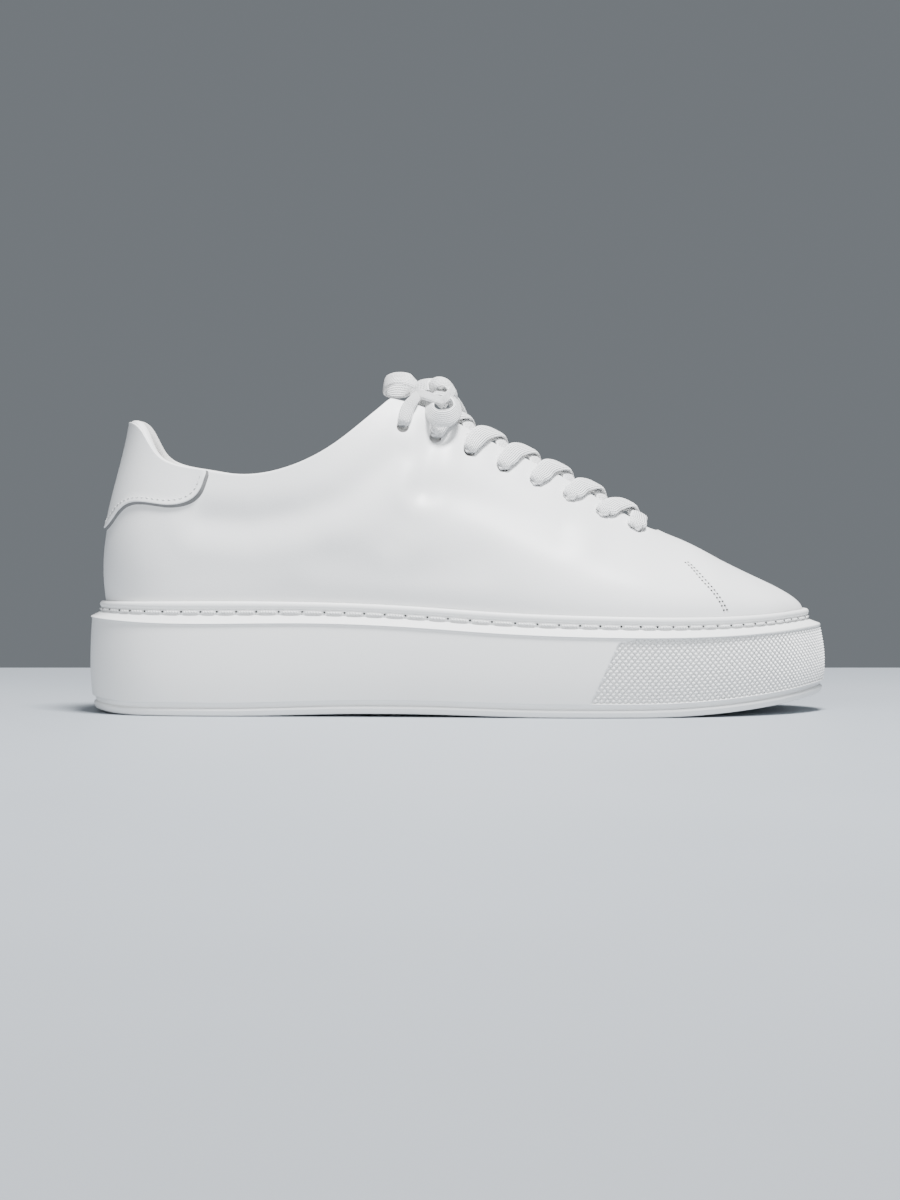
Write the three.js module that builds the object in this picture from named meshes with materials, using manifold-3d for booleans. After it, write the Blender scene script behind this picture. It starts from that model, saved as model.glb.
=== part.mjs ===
// Platform sneaker for the right foot: a leather upper on a thick stitched rubber sole.
// Millimetres. +X points to the toe, +Y to the medial side, +Z up. The origin lies on the
// floor, under the middle of the sole.
import * as THREE from 'three';
import { mergeVertices } from 'three/addons/utils/BufferGeometryUtils.js';
import Module from 'manifold-3d';

const wasm = await Module();
wasm.setup();

// Driving sizes
const SOLE_LENGTH = 300;
const BALL_WIDTH = 106;
const INSTEP = 129;             // height of the instep's crown above the floor
const WALL = 2;                 // leather and lining together
const COLLAR_PAD = 3.2;         // what the padding adds to the wall round the ankle
const PAD_DEPTH = 20;           // how far the padding reaches down from the collar
const GAP = 0.3;                // between pieces that touch
const TREAD = 3.3;              // thickness of the outsole plate
const GROOVE_TOP = 5.6;         // where the side wall of the midsole begins
const LIP = 2.2;                // thickness of the stitched lip round the upper
const INSOLE = 4;
const TOE_SPRING = 7.4;
const TOE_BREAK = 70;           // where the toe starts to lift
const HEEL_SPRING = 1.5;
const HEEL_BREAK = -128;        // where the back of the heel starts to lift
const ARCH_LIFT = 1.2;
const ARCH = { heel: -95, back: -35, front: -25, ball: 42 };  // its slopes and its level part
const FOOT_INSET = { side: 6.7, toe: 9.7 };  // from the sole's outline in to the upper
const TOE_TAPER = [60, 150];    // where what differs at the toe sets in and is complete
const LACE_WIDTH = 7;
const LACE_THICK = 1.6;
const LACE_REACH = 8.2;         // how far a lace leans towards the toe as it crosses
const SHORT_REACH = 4.8;        // the same above the straight bar
const LACE_RISE = 3.4;          // how high a lace arches over the throat
const KNOT = { x: -12.5, z: 131 };
const BOW_RADIUS = 1.6;

// The bow's cords, as bends from end to end
const BOW = {
  lace_knot: [[-14.5, -5.6, 130.2], [-15.6, 0, 133], [-12, 5, 132.4], [-9, 0.6, 134.2], [-9.2, -5, 130.2]],
  lace_loop_heel: [[-17.7, 2.6, 132.6], [-21, 1.8, 134.8], [-26, 3.8, 135.2], [-29.6, 9, 133.6],
    [-29.8, 16.6, 131.8], [-26, 21.6, 131], [-21, 19.6, 131.2], [-18.4, 12.6, 131.4]],
  lace_loop_side: [[-9.1, -6.1, 129], [-5.2, -8.8, 128], [-1.6, -13.4, 125.6], [-0.9, -18.6, 121.6],
    [-4, -23.4, 118.6], [-8.6, -23.6, 118.4], [-11.6, -19, 121], [-11.6, -12.8, 124.8], [-10.6, -9.2, 127]],
  lace_end_toe: [[-6.9, -0.4, 131.5], [-3.6, 5.4, 128.4], [-0.4, 11.2, 122.7], [0.8, 15.3, 118],
    [0.8, 20.4, 110.1], [0.6, 26.3, 98.3], [0.5, 28.6, 92.5]],
  lace_end_heel: [[-15.4, 8.2, 131.2], [-14.6, 12.2, 128.8], [-13.6, 16.2, 124.3], [-13.5, 20.1, 117.7],
    [-13.7, 26.2, 104.7], [-13.9, 29.2, 96]],
};
const EYELET_ROWS = 8;
const EYELET_RADIUS = 2.4;
const EYELET_SETBACK = 6.8;     // sideways from the edge of the throat to the eyelets
const EYELET_FIRST = 71.2;
const EYELET_LAST = -22.6;
const TONGUE_THICK = 2.6;
const TONGUE_TOP = -30;
const TONGUE_END = 90;
const TONGUE_TUCK = { ankle: 10, toe: 9 };  // how far it reaches under the wall
const LATERAL = -1;
const MEDIAL = 1;
const UP = new THREE.Vector3(0, 0, 1);

// How far the sole reaches to each side of its long axis: x as a share of its length, the
// reaches as shares of the ball's width
const OUTLINE = [
  { x: -0.5, lateral: 0, medial: 0 },
  { x: -0.4767, lateral: 0.2028, medial: 0.2028 },
  { x: -0.4333, lateral: 0.3132, medial: 0.3094 },
  { x: -0.36, lateral: 0.3698, medial: 0.3623 },
  { x: -0.2333, lateral: 0.3868, medial: 0.3491 },
  { x: -0.1, lateral: 0.4132, medial: 0.3472 },
  { x: 0.0333, lateral: 0.4613, medial: 0.3962 },
  { x: 0.1667, lateral: 0.4991, medial: 0.4755 },
  { x: 0.26, lateral: 0.4849, medial: 0.5 },
  { x: 0.3267, lateral: 0.4358, medial: 0.483 },
  { x: 0.3767, lateral: 0.3755, medial: 0.4509 },
  { x: 0.4167, lateral: 0.3038, medial: 0.4057 },
  { x: 0.45, lateral: 0.2189, medial: 0.3491 },
  { x: 0.4767, lateral: 0.1132, medial: 0.2698 },
  { x: 0.4933, lateral: 0.0226, medial: 0.1811 },
  { x: 0.5, lateral: -0.0774, medial: 0.0774 },
];

// Heights above the floor of the edge of the side wall, the bead on the lip and the bed inside
const HEIGHTS = [
  { x: -150, rim: 37.9, bead: 45.0, bed: 30 },
  { x: -125, rim: 36.4, bead: 45.4, bed: 30 },
  { x: -65, rim: 36.3, bead: 45.4, bed: 29.2 },
  { x: -24, rim: 35.1, bead: 44.0, bed: 26.8 },
  { x: 16, rim: 32.5, bead: 41.4, bed: 23.8 },
  { x: 57, rim: 31.1, bead: 40.0, bed: 22 },
  { x: 98, rim: 31.0, bead: 39.4, bed: 22.4 },
  { x: 125, rim: 32.2, bead: 40.0, bed: 25 },
  { x: 150, rim: 34.3, bead: 41.6, bed: 29 },
];

// The upper's ribs run from the lip to a crown. Share is the way round the sole from heel to
// toe. The crown's x is a share of the length, half of the ball's width, z of the instep. Lean
// is the slope at the crown, from 90 for upright to 0 for level; the pulls, in millimetres, say
// how long the rib keeps its direction at each end.
const RIBS = [
  { share: 0.00, x: -0.4407, half: 0, z: 0.9612, lean: 85, flare: 8.5, footPull: 33, crownPull: 26 },
  { share: 0.09, x: -0.4273, half: 0.134, z: 0.9535, lean: 84, flare: 8, footPull: 32, crownPull: 26 },
  { share: 0.18, x: -0.378, half: 0.2226, z: 0.8992, lean: 81, flare: 7, footPull: 26, crownPull: 23 },
  { share: 0.28, x: -0.2667, half: 0.2594, z: 0.8527, lean: 77, flare: 8, footPull: 22, crownPull: 21 },
  { share: 0.37, x: -0.16, half: 0.2075, z: 0.938, lean: 66, flare: 9, footPull: 26, crownPull: 25 },
  { share: 0.45, x: -0.06, half: 0.1038, z: 1, lean: 50, flare: 9, footPull: 28, crownPull: 26 },
  { share: 0.54, x: 0.05, half: 0.0755, z: 0.8744, lean: 47, flare: 8, footPull: 25, crownPull: 24 },
  { share: 0.62, x: 0.1467, half: 0.0509, z: 0.7566, lean: 45, flare: 7, footPull: 21, crownPull: 22 },
  { share: 0.68, x: 0.2067, half: 0, z: 0.6822, lean: 33, flare: 6, footPull: 18, crownPull: 21 },
  { share: 0.73, x: 0.2533, half: 0, z: 0.5953, lean: 13, flare: 5, footPull: 15, crownPull: 21 },
  { share: 0.79, x: 0.2967, half: 0, z: 0.5434, lean: 1, flare: 5, footPull: 12, crownPull: 22 },
  { share: 0.88, x: 0.34, half: 0, z: 0.4938, lean: 0, flare: 5, footPull: 8.5, crownPull: 20 },
  { share: 1.00, x: 0.36, half: 0, z: 0.4705, lean: 0, flare: 5, footPull: 5.5, crownPull: 18 },
];
const RIDGE_CLOSES = 0.68;      // the share past which the two sides meet on the ridge
const RIDGE_SLOPE = 0.5;
const RIDGE_DRIFT = 6;          // the toe lies this far to the medial side

// The edge of the collar, seen from the side
const COLLAR = [
  { x: -140, z: 117.5 },
  { x: -133, z: 118 },
  { x: -127.1, z: 114.6 },
  { x: -122.4, z: 106.8 },
  { x: -115.3, z: 101.1 },
  { x: -103.9, z: 98.6 },
  { x: -87.1, z: 96.3 },
  { x: -67.8, z: 99.5 },
  { x: -48.6, z: 109.5 },
  { x: -35.8, z: 119.9 },
  { x: -26, z: 128.6 },
  { x: -18, z: 137 },
];

// Half the width of the throat between the two rows of eyelets
const THROAT_END = 81;
const THROAT_ROUND = 8;
const THROAT_HALF = { toe: 7.4, ankle: 15 };
const THROAT_TOP = -26;

// The lower edge of the heel tab, seen from the side
const TAB_EDGE = [
  { x: -150, z: 72 },
  { x: -144.1, z: 73.7 },
  { x: -140.6, z: 75.9 },
  { x: -136.6, z: 80.8 },
  { x: -132.9, z: 83.9 },
  { x: -128.9, z: 84.9 },
  { x: -116.5, z: 83.7 },
  { x: -111.1, z: 84.1 },
  { x: -107.4, z: 85.4 },
  { x: -104.1, z: 88 },
  { x: -102.1, z: 91.5 },
  { x: -100.2, z: 98 },
];
const TAB_THICK = 1.2;
const TAB_GAP = 0.45;           // leaves the faceted wall clear where it bends
const TAB_FRONT = -100.2;

const RIB_COUNT = 27;           // ribs on each side, the heel and toe ribs counted once
const RIB_STEPS = 10;

// A smooth curve through the rows of a table, straight past its ends
function spline(rows, at, key) {
  const x = rows.map((row) => row[at]);
  const y = rows.map((row) => row[key]);
  const last = x.length - 1;
  const bend = new Array(last + 1).fill(0);
  const carry = new Array(last + 1).fill(0);
  for (let i = 1; i < last; i++) {
    const share = (x[i] - x[i - 1]) / (x[i + 1] - x[i - 1]);
    const pivot = share * bend[i - 1] + 2;
    const turn = (y[i + 1] - y[i]) / (x[i + 1] - x[i]) - (y[i] - y[i - 1]) / (x[i] - x[i - 1]);
    bend[i] = (share - 1) / pivot;
    carry[i] = (6 * turn / (x[i + 1] - x[i - 1]) - share * carry[i - 1]) / pivot;
  }
  for (let i = last - 1; i > 0; i--) bend[i] = bend[i] * bend[i + 1] + carry[i];
  bend[0] = 0;
  return (place) => {
    const q = THREE.MathUtils.clamp(place, x[0], x[last]);
    let i = 1;
    while (i < last && x[i] < q) i++;
    const h = x[i] - x[i - 1];
    const a = (x[i] - q) / h;
    const b = 1 - a;
    const curve = ((a ** 3 - a) * bend[i - 1] + (b ** 3 - b) * bend[i]) * h * h / 6;
    return a * y[i - 1] + b * y[i] + curve;
  };
}

const smooth = (from, to, x) => THREE.MathUtils.smoothstep(x, from, to);
const mix = THREE.MathUtils.lerp;

// The first share of the way from low to high at which test turns false, by halving
function crossing(low, high, test) {
  let inside = low;
  let outside = high;
  for (let i = 0; i < 40; i++) {
    const middle = (inside + outside) / 2;
    if (test(middle)) inside = middle;
    else outside = middle;
  }
  return inside;
}

// The sole's outline as one closed curve, by the length along it
const loop = [
  ...OUTLINE.map(({ x, lateral }) => ({ x: x * SOLE_LENGTH, y: -lateral * BALL_WIDTH })),
  ...OUTLINE.slice(1, -1).reverse().map(({ x, medial }) => (
    { x: x * SOLE_LENGTH, y: medial * BALL_WIDTH })),
];
const TOE_KNOT = OUTLINE.length - 1;
const WRAP = 5;
const wrapped = [];
for (let i = -WRAP; i <= loop.length + WRAP; i++) {
  const { x, y } = loop[(i + loop.length) % loop.length];
  const before = wrapped[wrapped.length - 1];
  const s = before ? before.s + Math.hypot(x - before.x, y - before.y) : 0;
  wrapped.push({ s, x, y });
}
const loopX = spline(wrapped, 's', 'x');
const loopY = spline(wrapped, 's', 'y');
const heelAt = wrapped[WRAP].s;
const toeAt = wrapped[WRAP + TOE_KNOT].s;
const roundAt = wrapped[WRAP + loop.length].s;

// A point of the outline and the way out from it, by side and share of the way to the toe
function edge(side, share, inset = 0) {
  const s = side === LATERAL ? mix(heelAt, toeAt, share) : mix(roundAt, toeAt, share);
  const step = 0.5;
  const dx = loopX(s + step) - loopX(s - step);
  const dy = loopY(s + step) - loopY(s - step);
  const out = new THREE.Vector3(dy, -dx, 0).normalize();
  return { at: new THREE.Vector3(loopX(s), loopY(s), 0).addScaledVector(out, -inset), out };
}

const rimHeight = spline(HEIGHTS, 'x', 'rim');
const beadHeight = spline(HEIGHTS, 'x', 'bead');
const bedHeight = spline(HEIGHTS, 'x', 'bed');

// The underside: flat under heel and ball, lifted at the arch, the toe and the back of the heel
function underside(x) {
  const toe = Math.max(0, (x - TOE_BREAK) / (SOLE_LENGTH / 2 - TOE_BREAK));
  const heel = Math.max(0, (HEEL_BREAK - x) / (SOLE_LENGTH / 2 + HEEL_BREAK));
  const arch = smooth(ARCH.heel, ARCH.back, x) * (1 - smooth(ARCH.front, ARCH.ball, x));
  return TOE_SPRING * toe ** 2 + HEEL_SPRING * heel ** 2 + ARCH_LIFT * arch;
}

// How far inside the outline the upper stands
const footInset = (x) => mix(FOOT_INSET.side, FOOT_INSET.toe, smooth(...TOE_TAPER, x));

const shares = Array.from({ length: RIB_COUNT + 1 }, (_, i) => {
  const even = i / RIB_COUNT;
  return mix(even, (1 - Math.cos(Math.PI * even)) / 2, 0.6);
});

// Both sides in one loop: lateral from heel to toe, then medial back to the heel
const columns = [
  ...shares.map((share) => ({ side: LATERAL, share })),
  ...shares.slice(1, -1).reverse().map((share) => ({ side: MEDIAL, share })),
];

function buildGeometry(positions) {
  const geometry = new THREE.BufferGeometry();
  const flat = positions.flatMap((p) => [p.x, p.y, p.z]);
  geometry.setAttribute('position', new THREE.Float32BufferAttribute(flat, 3));
  return mergeVertices(geometry, 1e-3);
}

// Leaves out faces that have shrunk to a line
function face(list, ...corners) {
  for (let i = 1; i + 1 < corners.length; i++) {
    const [a, b, c] = [corners[0], corners[i], corners[i + 1]];
    const apart = Math.min(a.distanceTo(b), b.distanceTo(c), c.distanceTo(a));
    if (apart > 2e-3) list.push(a, b, c);
  }
}

// A solid from rings of points stacked upwards, closed across by ladders of faces
function stack(rings) {
  const list = [];
  const count = rings[0].length;
  for (let k = 0; k + 1 < rings.length; k++) {
    for (let j = 0; j < count; j++) {
      const next = (j + 1) % count;
      face(list, rings[k][j], rings[k][next], rings[k + 1][next], rings[k + 1][j]);
    }
  }
  const half = count / 2;
  const bottom = rings[0];
  const top = rings[rings.length - 1];
  for (let i = 0; i < half; i++) {
    const across = (count - i) % count;
    face(list, top[i], top[i + 1], top[count - i - 1], top[across]);
    face(list, bottom[across], bottom[count - i - 1], bottom[i + 1], bottom[i]);
  }
  return buildGeometry(list);
}

// A curved sheet between an outer and an inner grid of points, columns first
function sheet(outer, inner, { wrap = false, open = () => true } = {}) {
  const list = [];
  const steps = outer[0].length - 1;
  const spans = wrap ? outer.length : outer.length - 1;
  for (let j = 0; j < spans; j++) {
    const next = (j + 1) % outer.length;
    for (let k = 0; k < steps; k++) {
      face(list, outer[j][k], outer[next][k], outer[next][k + 1], outer[j][k + 1]);
      face(list, inner[j][k + 1], inner[next][k + 1], inner[next][k], inner[j][k]);
    }
    face(list, outer[j][0], inner[j][0], inner[next][0], outer[next][0]);
    if (open(j, next)) {
      face(list, outer[j][steps], outer[next][steps], inner[next][steps], inner[j][steps]);
    }
  }
  if (!wrap) {
    const end = outer.length - 1;
    for (let k = 0; k < steps; k++) {
      face(list, outer[0][k], outer[0][k + 1], inner[0][k + 1], inner[0][k]);
      face(list, outer[end][k + 1], outer[end][k], inner[end][k], inner[end][k + 1]);
    }
  }
  return buildGeometry(list);
}

// Between three.js geometry and solids that can be cut and joined
function toSolid(geometry) {
  const bare = geometry.index ? geometry.toNonIndexed() : geometry.clone();
  bare.deleteAttribute('normal');
  bare.deleteAttribute('uv');
  const merged = mergeVertices(bare, 1e-3);
  return new wasm.Manifold(new wasm.Mesh({
    numProp: 3,
    vertProperties: merged.attributes.position.array,
    triVerts: new Uint32Array(merged.index.array),
  }));
}

function toGeometry(solid) {
  const mesh = solid.getMesh();
  const geometry = new THREE.BufferGeometry();
  geometry.setAttribute('position', new THREE.Float32BufferAttribute(mesh.vertProperties, 3));
  geometry.setIndex(new THREE.BufferAttribute(mesh.triVerts, 1));
  geometry.computeVertexNormals();
  return geometry;
}

// Outsole: the tread plate
function outsoleGeometry() {
  const rows = [
    { inset: 3.4, up: 0 },
    { inset: 1.9, up: 0.9 },
    { inset: 1.5, up: TREAD - 0.5 },
    { inset: 2.1, up: TREAD },
  ];
  return stack(rows.map(({ inset, up }) => columns.map(({ side, share }) => {
    const { at } = edge(side, share, inset);
    return at.setZ(underside(edge(side, share).at.x) + up);
  })));
}

// Midsole: the platform, a cup whose lip is stitched to the upper
function midsoleGeometry() {
  const toeLean = (x) => 1.4 * smooth(...TOE_TAPER, x);
  const lipOut = (x) => footInset(x) - GAP - LIP;
  const lerpRim = (x, share) => mix(rimHeight(x), beadHeight(x), share);
  const rings = [
    (x, base) => ({ inset: 3.3, z: base + TREAD + GAP }),
    (x, base) => ({ inset: 3.1, z: base + GROOVE_TOP - 0.4 }),
    (x, base) => ({ inset: 1.5, z: base + GROOVE_TOP }),
    (x, base) => ({ inset: 0.3, z: mix(base, rimHeight(x), 0.36) }),
    (x, base) => ({ inset: 0.2 + toeLean(x) * 0.25, z: mix(base, rimHeight(x), 0.6) }),
    (x, base) => ({ inset: 1.2 + toeLean(x), z: rimHeight(x) - 1.2 }),
    (x) => ({ inset: 0.6 + toeLean(x), z: rimHeight(x) }),
    (x) => ({ inset: lipOut(x), z: lerpRim(x, 0.42) }),
    (x) => ({ inset: lipOut(x) + 0.6, z: lerpRim(x, 0.58) }),
    (x) => ({ inset: lipOut(x), z: lerpRim(x, 0.74) }),
    (x) => ({ inset: lipOut(x) + 0.3, z: lerpRim(x, 0.94) }),
    (x) => ({ inset: lipOut(x) + 1.1, z: beadHeight(x) }),
    (x) => ({ inset: footInset(x) - GAP, z: beadHeight(x) - 0.6 }),
    (x) => ({ inset: footInset(x) - GAP, z: bedHeight(x) }),
  ];
  return stack(rings.map((ring) => columns.map(({ side, share }) => {
    const { x } = edge(side, share).at;
    const { inset, z } = ring(x, underside(x));
    return edge(side, share, inset).at.setZ(z);
  })));
}

// Insole: the footbed in the cup, a little dished
function insoleGeometry() {
  const rows = [
    { inset: WALL + 0.8, up: GAP },
    { inset: WALL + GAP, up: GAP + 1 },
    { inset: WALL + GAP, up: GAP + INSOLE - 0.6 },
    { inset: WALL + 1.2, up: GAP + INSOLE },
    { inset: WALL + 9, up: GAP + INSOLE - 0.9 },
  ];
  return stack(rows.map(({ inset, up }) => columns.map(({ side, share }) => {
    const { x } = edge(side, share).at;
    return edge(side, share, footInset(x) + inset).at.setZ(bedHeight(x) + up);
  })));
}

const rib = {};
for (const key of ['x', 'half', 'z', 'lean', 'flare', 'footPull', 'crownPull']) {
  rib[key] = spline(RIBS, 'share', key);
}

// The ridge leaves the middle and drifts to the medial side towards the toe
const ridgeMiddle = (share) => RIDGE_DRIFT * smooth(0.5, 1, share);

// The last: a point on the outside of the upper. Below t = 0 the wall stands in the cup.
function last(side, share, t) {
  const { at, out } = edge(side, share, footInset(edge(side, share).at.x));
  const x0 = edge(side, share).at.x;
  const foot = at.setZ(beadHeight(x0) - 0.8);
  if (t < 0) return foot.setZ(mix(foot.z, bedHeight(x0) + GAP, -t));
  const half = share < RIDGE_CLOSES ? Math.max(0, rib.half(share)) * BALL_WIDTH : 0;
  const crown = new THREE.Vector3(
    rib.x(share) * SOLE_LENGTH, ridgeMiddle(share) + side * half, rib.z(share) * INSTEP);
  const flare = THREE.MathUtils.degToRad(rib.flare(share));
  const lean = THREE.MathUtils.degToRad(Math.max(0, rib.lean(share)));
  const rise = new THREE.Vector3(0, 0, Math.cos(flare)).addScaledVector(out, Math.sin(flare));
  const slope = -Math.sin(lean) - Math.max(0, out.x) * RIDGE_SLOPE * Math.cos(lean);
  const fall = out.clone().multiplyScalar(Math.cos(lean)).setZ(slope).normalize();
  const curve = new THREE.CubicBezierCurve3(
    foot,
    foot.clone().addScaledVector(rise, rib.footPull(share)),
    crown.clone().addScaledVector(fall, rib.crownPull(share)),
    crown,
  );
  return curve.getPoint(t);
}

// The way out of the upper's surface
function outward(side, share, t) {
  const d = 1e-3;
  const along = last(side, Math.min(1, share + d), t).sub(last(side, Math.max(0, share - d), t));
  const up = last(side, share, Math.min(1, t + d)).sub(last(side, share, t - d));
  return along.cross(up).multiplyScalar(-side).normalize();
}

// A point off the surface; on the ridge and at heel and toe both sides give the same one
function offset(side, share, t, distance) {
  const normal = outward(side, share, t);
  const shared = share === 0 || share === 1 || (t === 1 && share >= RIDGE_CLOSES);
  if (shared) normal.add(outward(-side, share, t)).normalize();
  return last(side, share, t).addScaledVector(normal, distance);
}

const collarHeight = spline(COLLAR, 'x', 'z');
const tabHeight = spline(TAB_EDGE, 'x', 'z');

const THROAT_STRAIGHT = THROAT_END - THROAT_ROUND;

function throatWide(x) {
  const share = (THROAT_STRAIGHT - x) / (THROAT_STRAIGHT - THROAT_TOP);
  return mix(THROAT_HALF.toe, THROAT_HALF.ankle, Math.max(0, share));
}

function throatHalf(x) {
  const into = Math.max(0, x - THROAT_STRAIGHT) / THROAT_ROUND;
  return throatWide(x) * Math.sqrt(Math.max(0, 1 - into ** 2));
}

// The throat follows the ridge to the medial side towards the toe
const throatMiddle = (x) => RIDGE_DRIFT * smooth(-5, 160, x);

// The step of a rib, from foot to crown, at which the edge test turns false
function ribStep(side, share, below) {
  return below(last(side, share, 1)) ? 1 : crossing(0, 1, (t) => below(last(side, share, t)));
}

const underCollar = (p) => p.x > THROAT_TOP + 10 || p.z < collarHeight(p.x);

// The point of the last at a given station and distance from the middle of the throat
function onThroat(side, x, half) {
  const step = (share) => crossing(0, 1, (t) => side * (last(side, share, t).y - ridgeMiddle(share)) > half);
  const share = crossing(0.3, 0.95, (tried) => last(side, tried, step(tried)).x < x);
  return { side, share, t: step(share) };
}

// Wall thickness: padded round the ankle, thin at the front
function wallAt(share, point) {
  const ankle = 1 - smooth(0.26, 0.42, share);
  const depth = collarHeight(point.x) - point.z;
  return WALL + COLLAR_PAD * ankle * (1 - smooth(PAD_DEPTH * 0.4, PAD_DEPTH, depth));
}

// The room of the throat seen from above, as a prism
function throatPrism() {
  const shape = new THREE.Shape();
  const stations = [-70, THROAT_TOP, 0, 25, 50, THROAT_STRAIGHT];
  const turn = [0.35, 0.65, 0.85, 0.96, 1].map((share) => THROAT_END - THROAT_ROUND * (1 - share));
  const rows = [...stations, ...turn].map((x) => ({ x, half: throatHalf(x), middle: throatMiddle(x) }));
  rows.forEach((row, i) => shape[i ? 'lineTo' : 'moveTo'](row.x, row.middle - row.half));
  rows.reverse().forEach((row) => shape.lineTo(row.x, row.middle + row.half));
  const prism = new THREE.ExtrudeGeometry(shape, { depth: 120, bevelEnabled: false });
  return toSolid(prism.translate(0, 0, 62));
}

// The room above the collar seen from the side, as a prism
function collarPrism() {
  const shape = new THREE.Shape();
  const from = COLLAR[0].x;
  const to = COLLAR[COLLAR.length - 1].x;
  shape.moveTo(from - 30, collarHeight(from));
  for (let x = from; x <= to; x += 2) shape.lineTo(x, collarHeight(x));
  shape.lineTo(to, 200);
  shape.lineTo(from - 30, 200);
  const prism = new THREE.ExtrudeGeometry(shape, { depth: 160, bevelEnabled: false });
  return toSolid(prism.rotateX(Math.PI / 2).translate(0, 80, 0));
}

const eyelets = [];
for (let row = 0; row < EYELET_ROWS; row++) {
  const x = mix(EYELET_FIRST, EYELET_LAST, row / (EYELET_ROWS - 1));
  for (const side of [LATERAL, MEDIAL]) {
    eyelets.push({ row, ...onThroat(side, x, throatHalf(x) + EYELET_SETBACK) });
  }
}

// A round pin through the wall
function eyeletPin({ side, share, t }) {
  const pin = new THREE.CylinderGeometry(EYELET_RADIUS, EYELET_RADIUS, 16, 10);
  const axis = new THREE.Vector3(0, 1, 0);
  const turn = new THREE.Quaternion().setFromUnitVectors(axis, outward(side, share, t));
  const at = last(side, share, t);
  return toSolid(pin.applyQuaternion(turn).translate(at.x, at.y, at.z));
}

// Upper: one hollow wall, open at the collar, the throat and underneath
function upperGeometry() {
  const steps = [-1, ...Array.from({ length: RIB_STEPS + 1 }, (_, k) => k / RIB_STEPS)];
  const outer = columns.map(({ side, share }) => steps.map((t) => last(side, share, t)));
  const inner = columns.map(({ side, share }) => steps.map((t) => (
    offset(side, share, t, -wallAt(share, last(side, share, t))))));
  const closed = (j) => columns[j].share >= RIDGE_CLOSES;
  const shell = sheet(outer, inner, { wrap: true, open: (j, next) => !(closed(j) && closed(next)) });
  const cutters = [collarPrism(), throatPrism(), ...eyelets.map(eyeletPin)];
  return toGeometry(cutters.reduce((solid, cutter) => solid.subtract(cutter), toSolid(shell)));
}

// Heel tab: a second layer of leather round the back, from the collar to a waved edge
function heelTabGeometry() {
  const front = (side) => crossing(0, 0.5, (share) => {
    const t = ribStep(side, share, underCollar);
    return last(side, share, t).x < TAB_FRONT;
  });
  const half = 11;
  const stations = [];
  for (let i = -half; i <= half; i++) {
    const side = i < 0 ? MEDIAL : LATERAL;
    stations.push({ side, share: front(side) * Math.abs(i) / half });
  }
  const grid = (distance, trim) => stations.map(({ side, share }) => {
    const high = ribStep(side, share, underCollar) - 0.012;
    const low = Math.min(high - 0.02, ribStep(side, share, (p) => p.z < tabHeight(p.x)));
    return Array.from({ length: 6 }, (_, k) => (
      offset(side, share, mix(low + trim, high, k / 5), distance)));
  });
  return sheet(grid(TAB_GAP + TAB_THICK, 0.006), grid(TAB_GAP, 0));
}

// Tongue: a thin arch under the throat, carried over from one side of the wall to the other
function tongueGeometry() {
  const count = 13;
  const across = 10;
  const layer = (depth) => Array.from({ length: count }, (_, i) => {
    const x = mix(TONGUE_TOP, TONGUE_END, i / (count - 1));
    const tuck = mix(TONGUE_TUCK.ankle, TONGUE_TUCK.toe, i / (count - 1));
    const [a, b] = [LATERAL, MEDIAL].map((side) => {
      const { share, t } = onThroat(side, x, throatWide(x) + tuck);
      const at = offset(side, share, t, -(WALL + GAP + 0.25));
      const up = last(side, share, t + 0.01).sub(last(side, share, t - 0.01)).normalize();
      return { at, up };
    });
    const reach = a.at.distanceTo(b.at) * 0.34;
    const arch = new THREE.CubicBezierCurve3(
      a.at, a.at.clone().addScaledVector(a.up, reach), b.at.clone().addScaledVector(b.up, reach), b.at);
    return Array.from({ length: across + 1 }, (_, k) => {
      const tangent = arch.getTangent(k / across);
      const side = new THREE.Vector3(1, 0, -RIDGE_SLOPE).normalize();
      const normal = side.cross(tangent).normalize();
      if (normal.z < 0) normal.negate();
      return arch.getPoint(k / across).addScaledVector(normal, -depth);
    });
  });
  return sheet(layer(0), layer(TONGUE_THICK));
}

// A flat lace swept along a path: stops carry a point and the way off the shoe there
function laceSolid(stops, widthAt = () => LACE_WIDTH) {
  const path = new THREE.CatmullRomCurve3(stops.map((stop) => stop.at), false, 'centripetal');
  const count = 10;
  const section = [[-0.5, 0], [-0.4, -0.5], [0.4, -0.5], [0.5, 0], [0.4, 0.5], [-0.4, 0.5]];
  const rings = [];
  for (let i = 0; i <= count; i++) {
    const u = i / count;
    const place = u * (stops.length - 1);
    const k = Math.min(stops.length - 2, Math.floor(place));
    const off = stops[k].off.clone().lerp(stops[k + 1].off, place - k);
    const ahead = path.getTangent(u);
    const wide = ahead.clone().cross(off).normalize();
    const thick = wide.clone().cross(ahead).normalize();
    rings.push(section.map(([a, b]) => path.getPoint(u)
      .addScaledVector(wide, a * widthAt(u)).addScaledVector(thick, b * LACE_THICK)));
  }
  const list = [];
  for (let i = 0; i < count; i++) {
    for (let k = 0; k < section.length; k++) {
      const next = (k + 1) % section.length;
      face(list, rings[i][k], rings[i + 1][k], rings[i + 1][next], rings[i][next]);
    }
  }
  face(list, ...rings[0]);
  face(list, ...rings[count].reverse());
  return toSolid(buildGeometry(list));
}

const RIDGE_UP = new THREE.Vector3(RIDGE_SLOPE, 0, 1).normalize();
const eyeletAt = (row, side) => eyelets.find((eyelet) => eyelet.row === row && eyelet.side === side);

// A stop of a lace on the leather, between an eyelet and the edge of the throat
function laceStop(side, x, half, lift = GAP + 0.1 + LACE_THICK / 2) {
  const { share, t } = onThroat(side, x, half);
  const off = outward(side, share, t);
  return { at: last(side, share, t).addScaledVector(off, lift), off };
}

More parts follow.
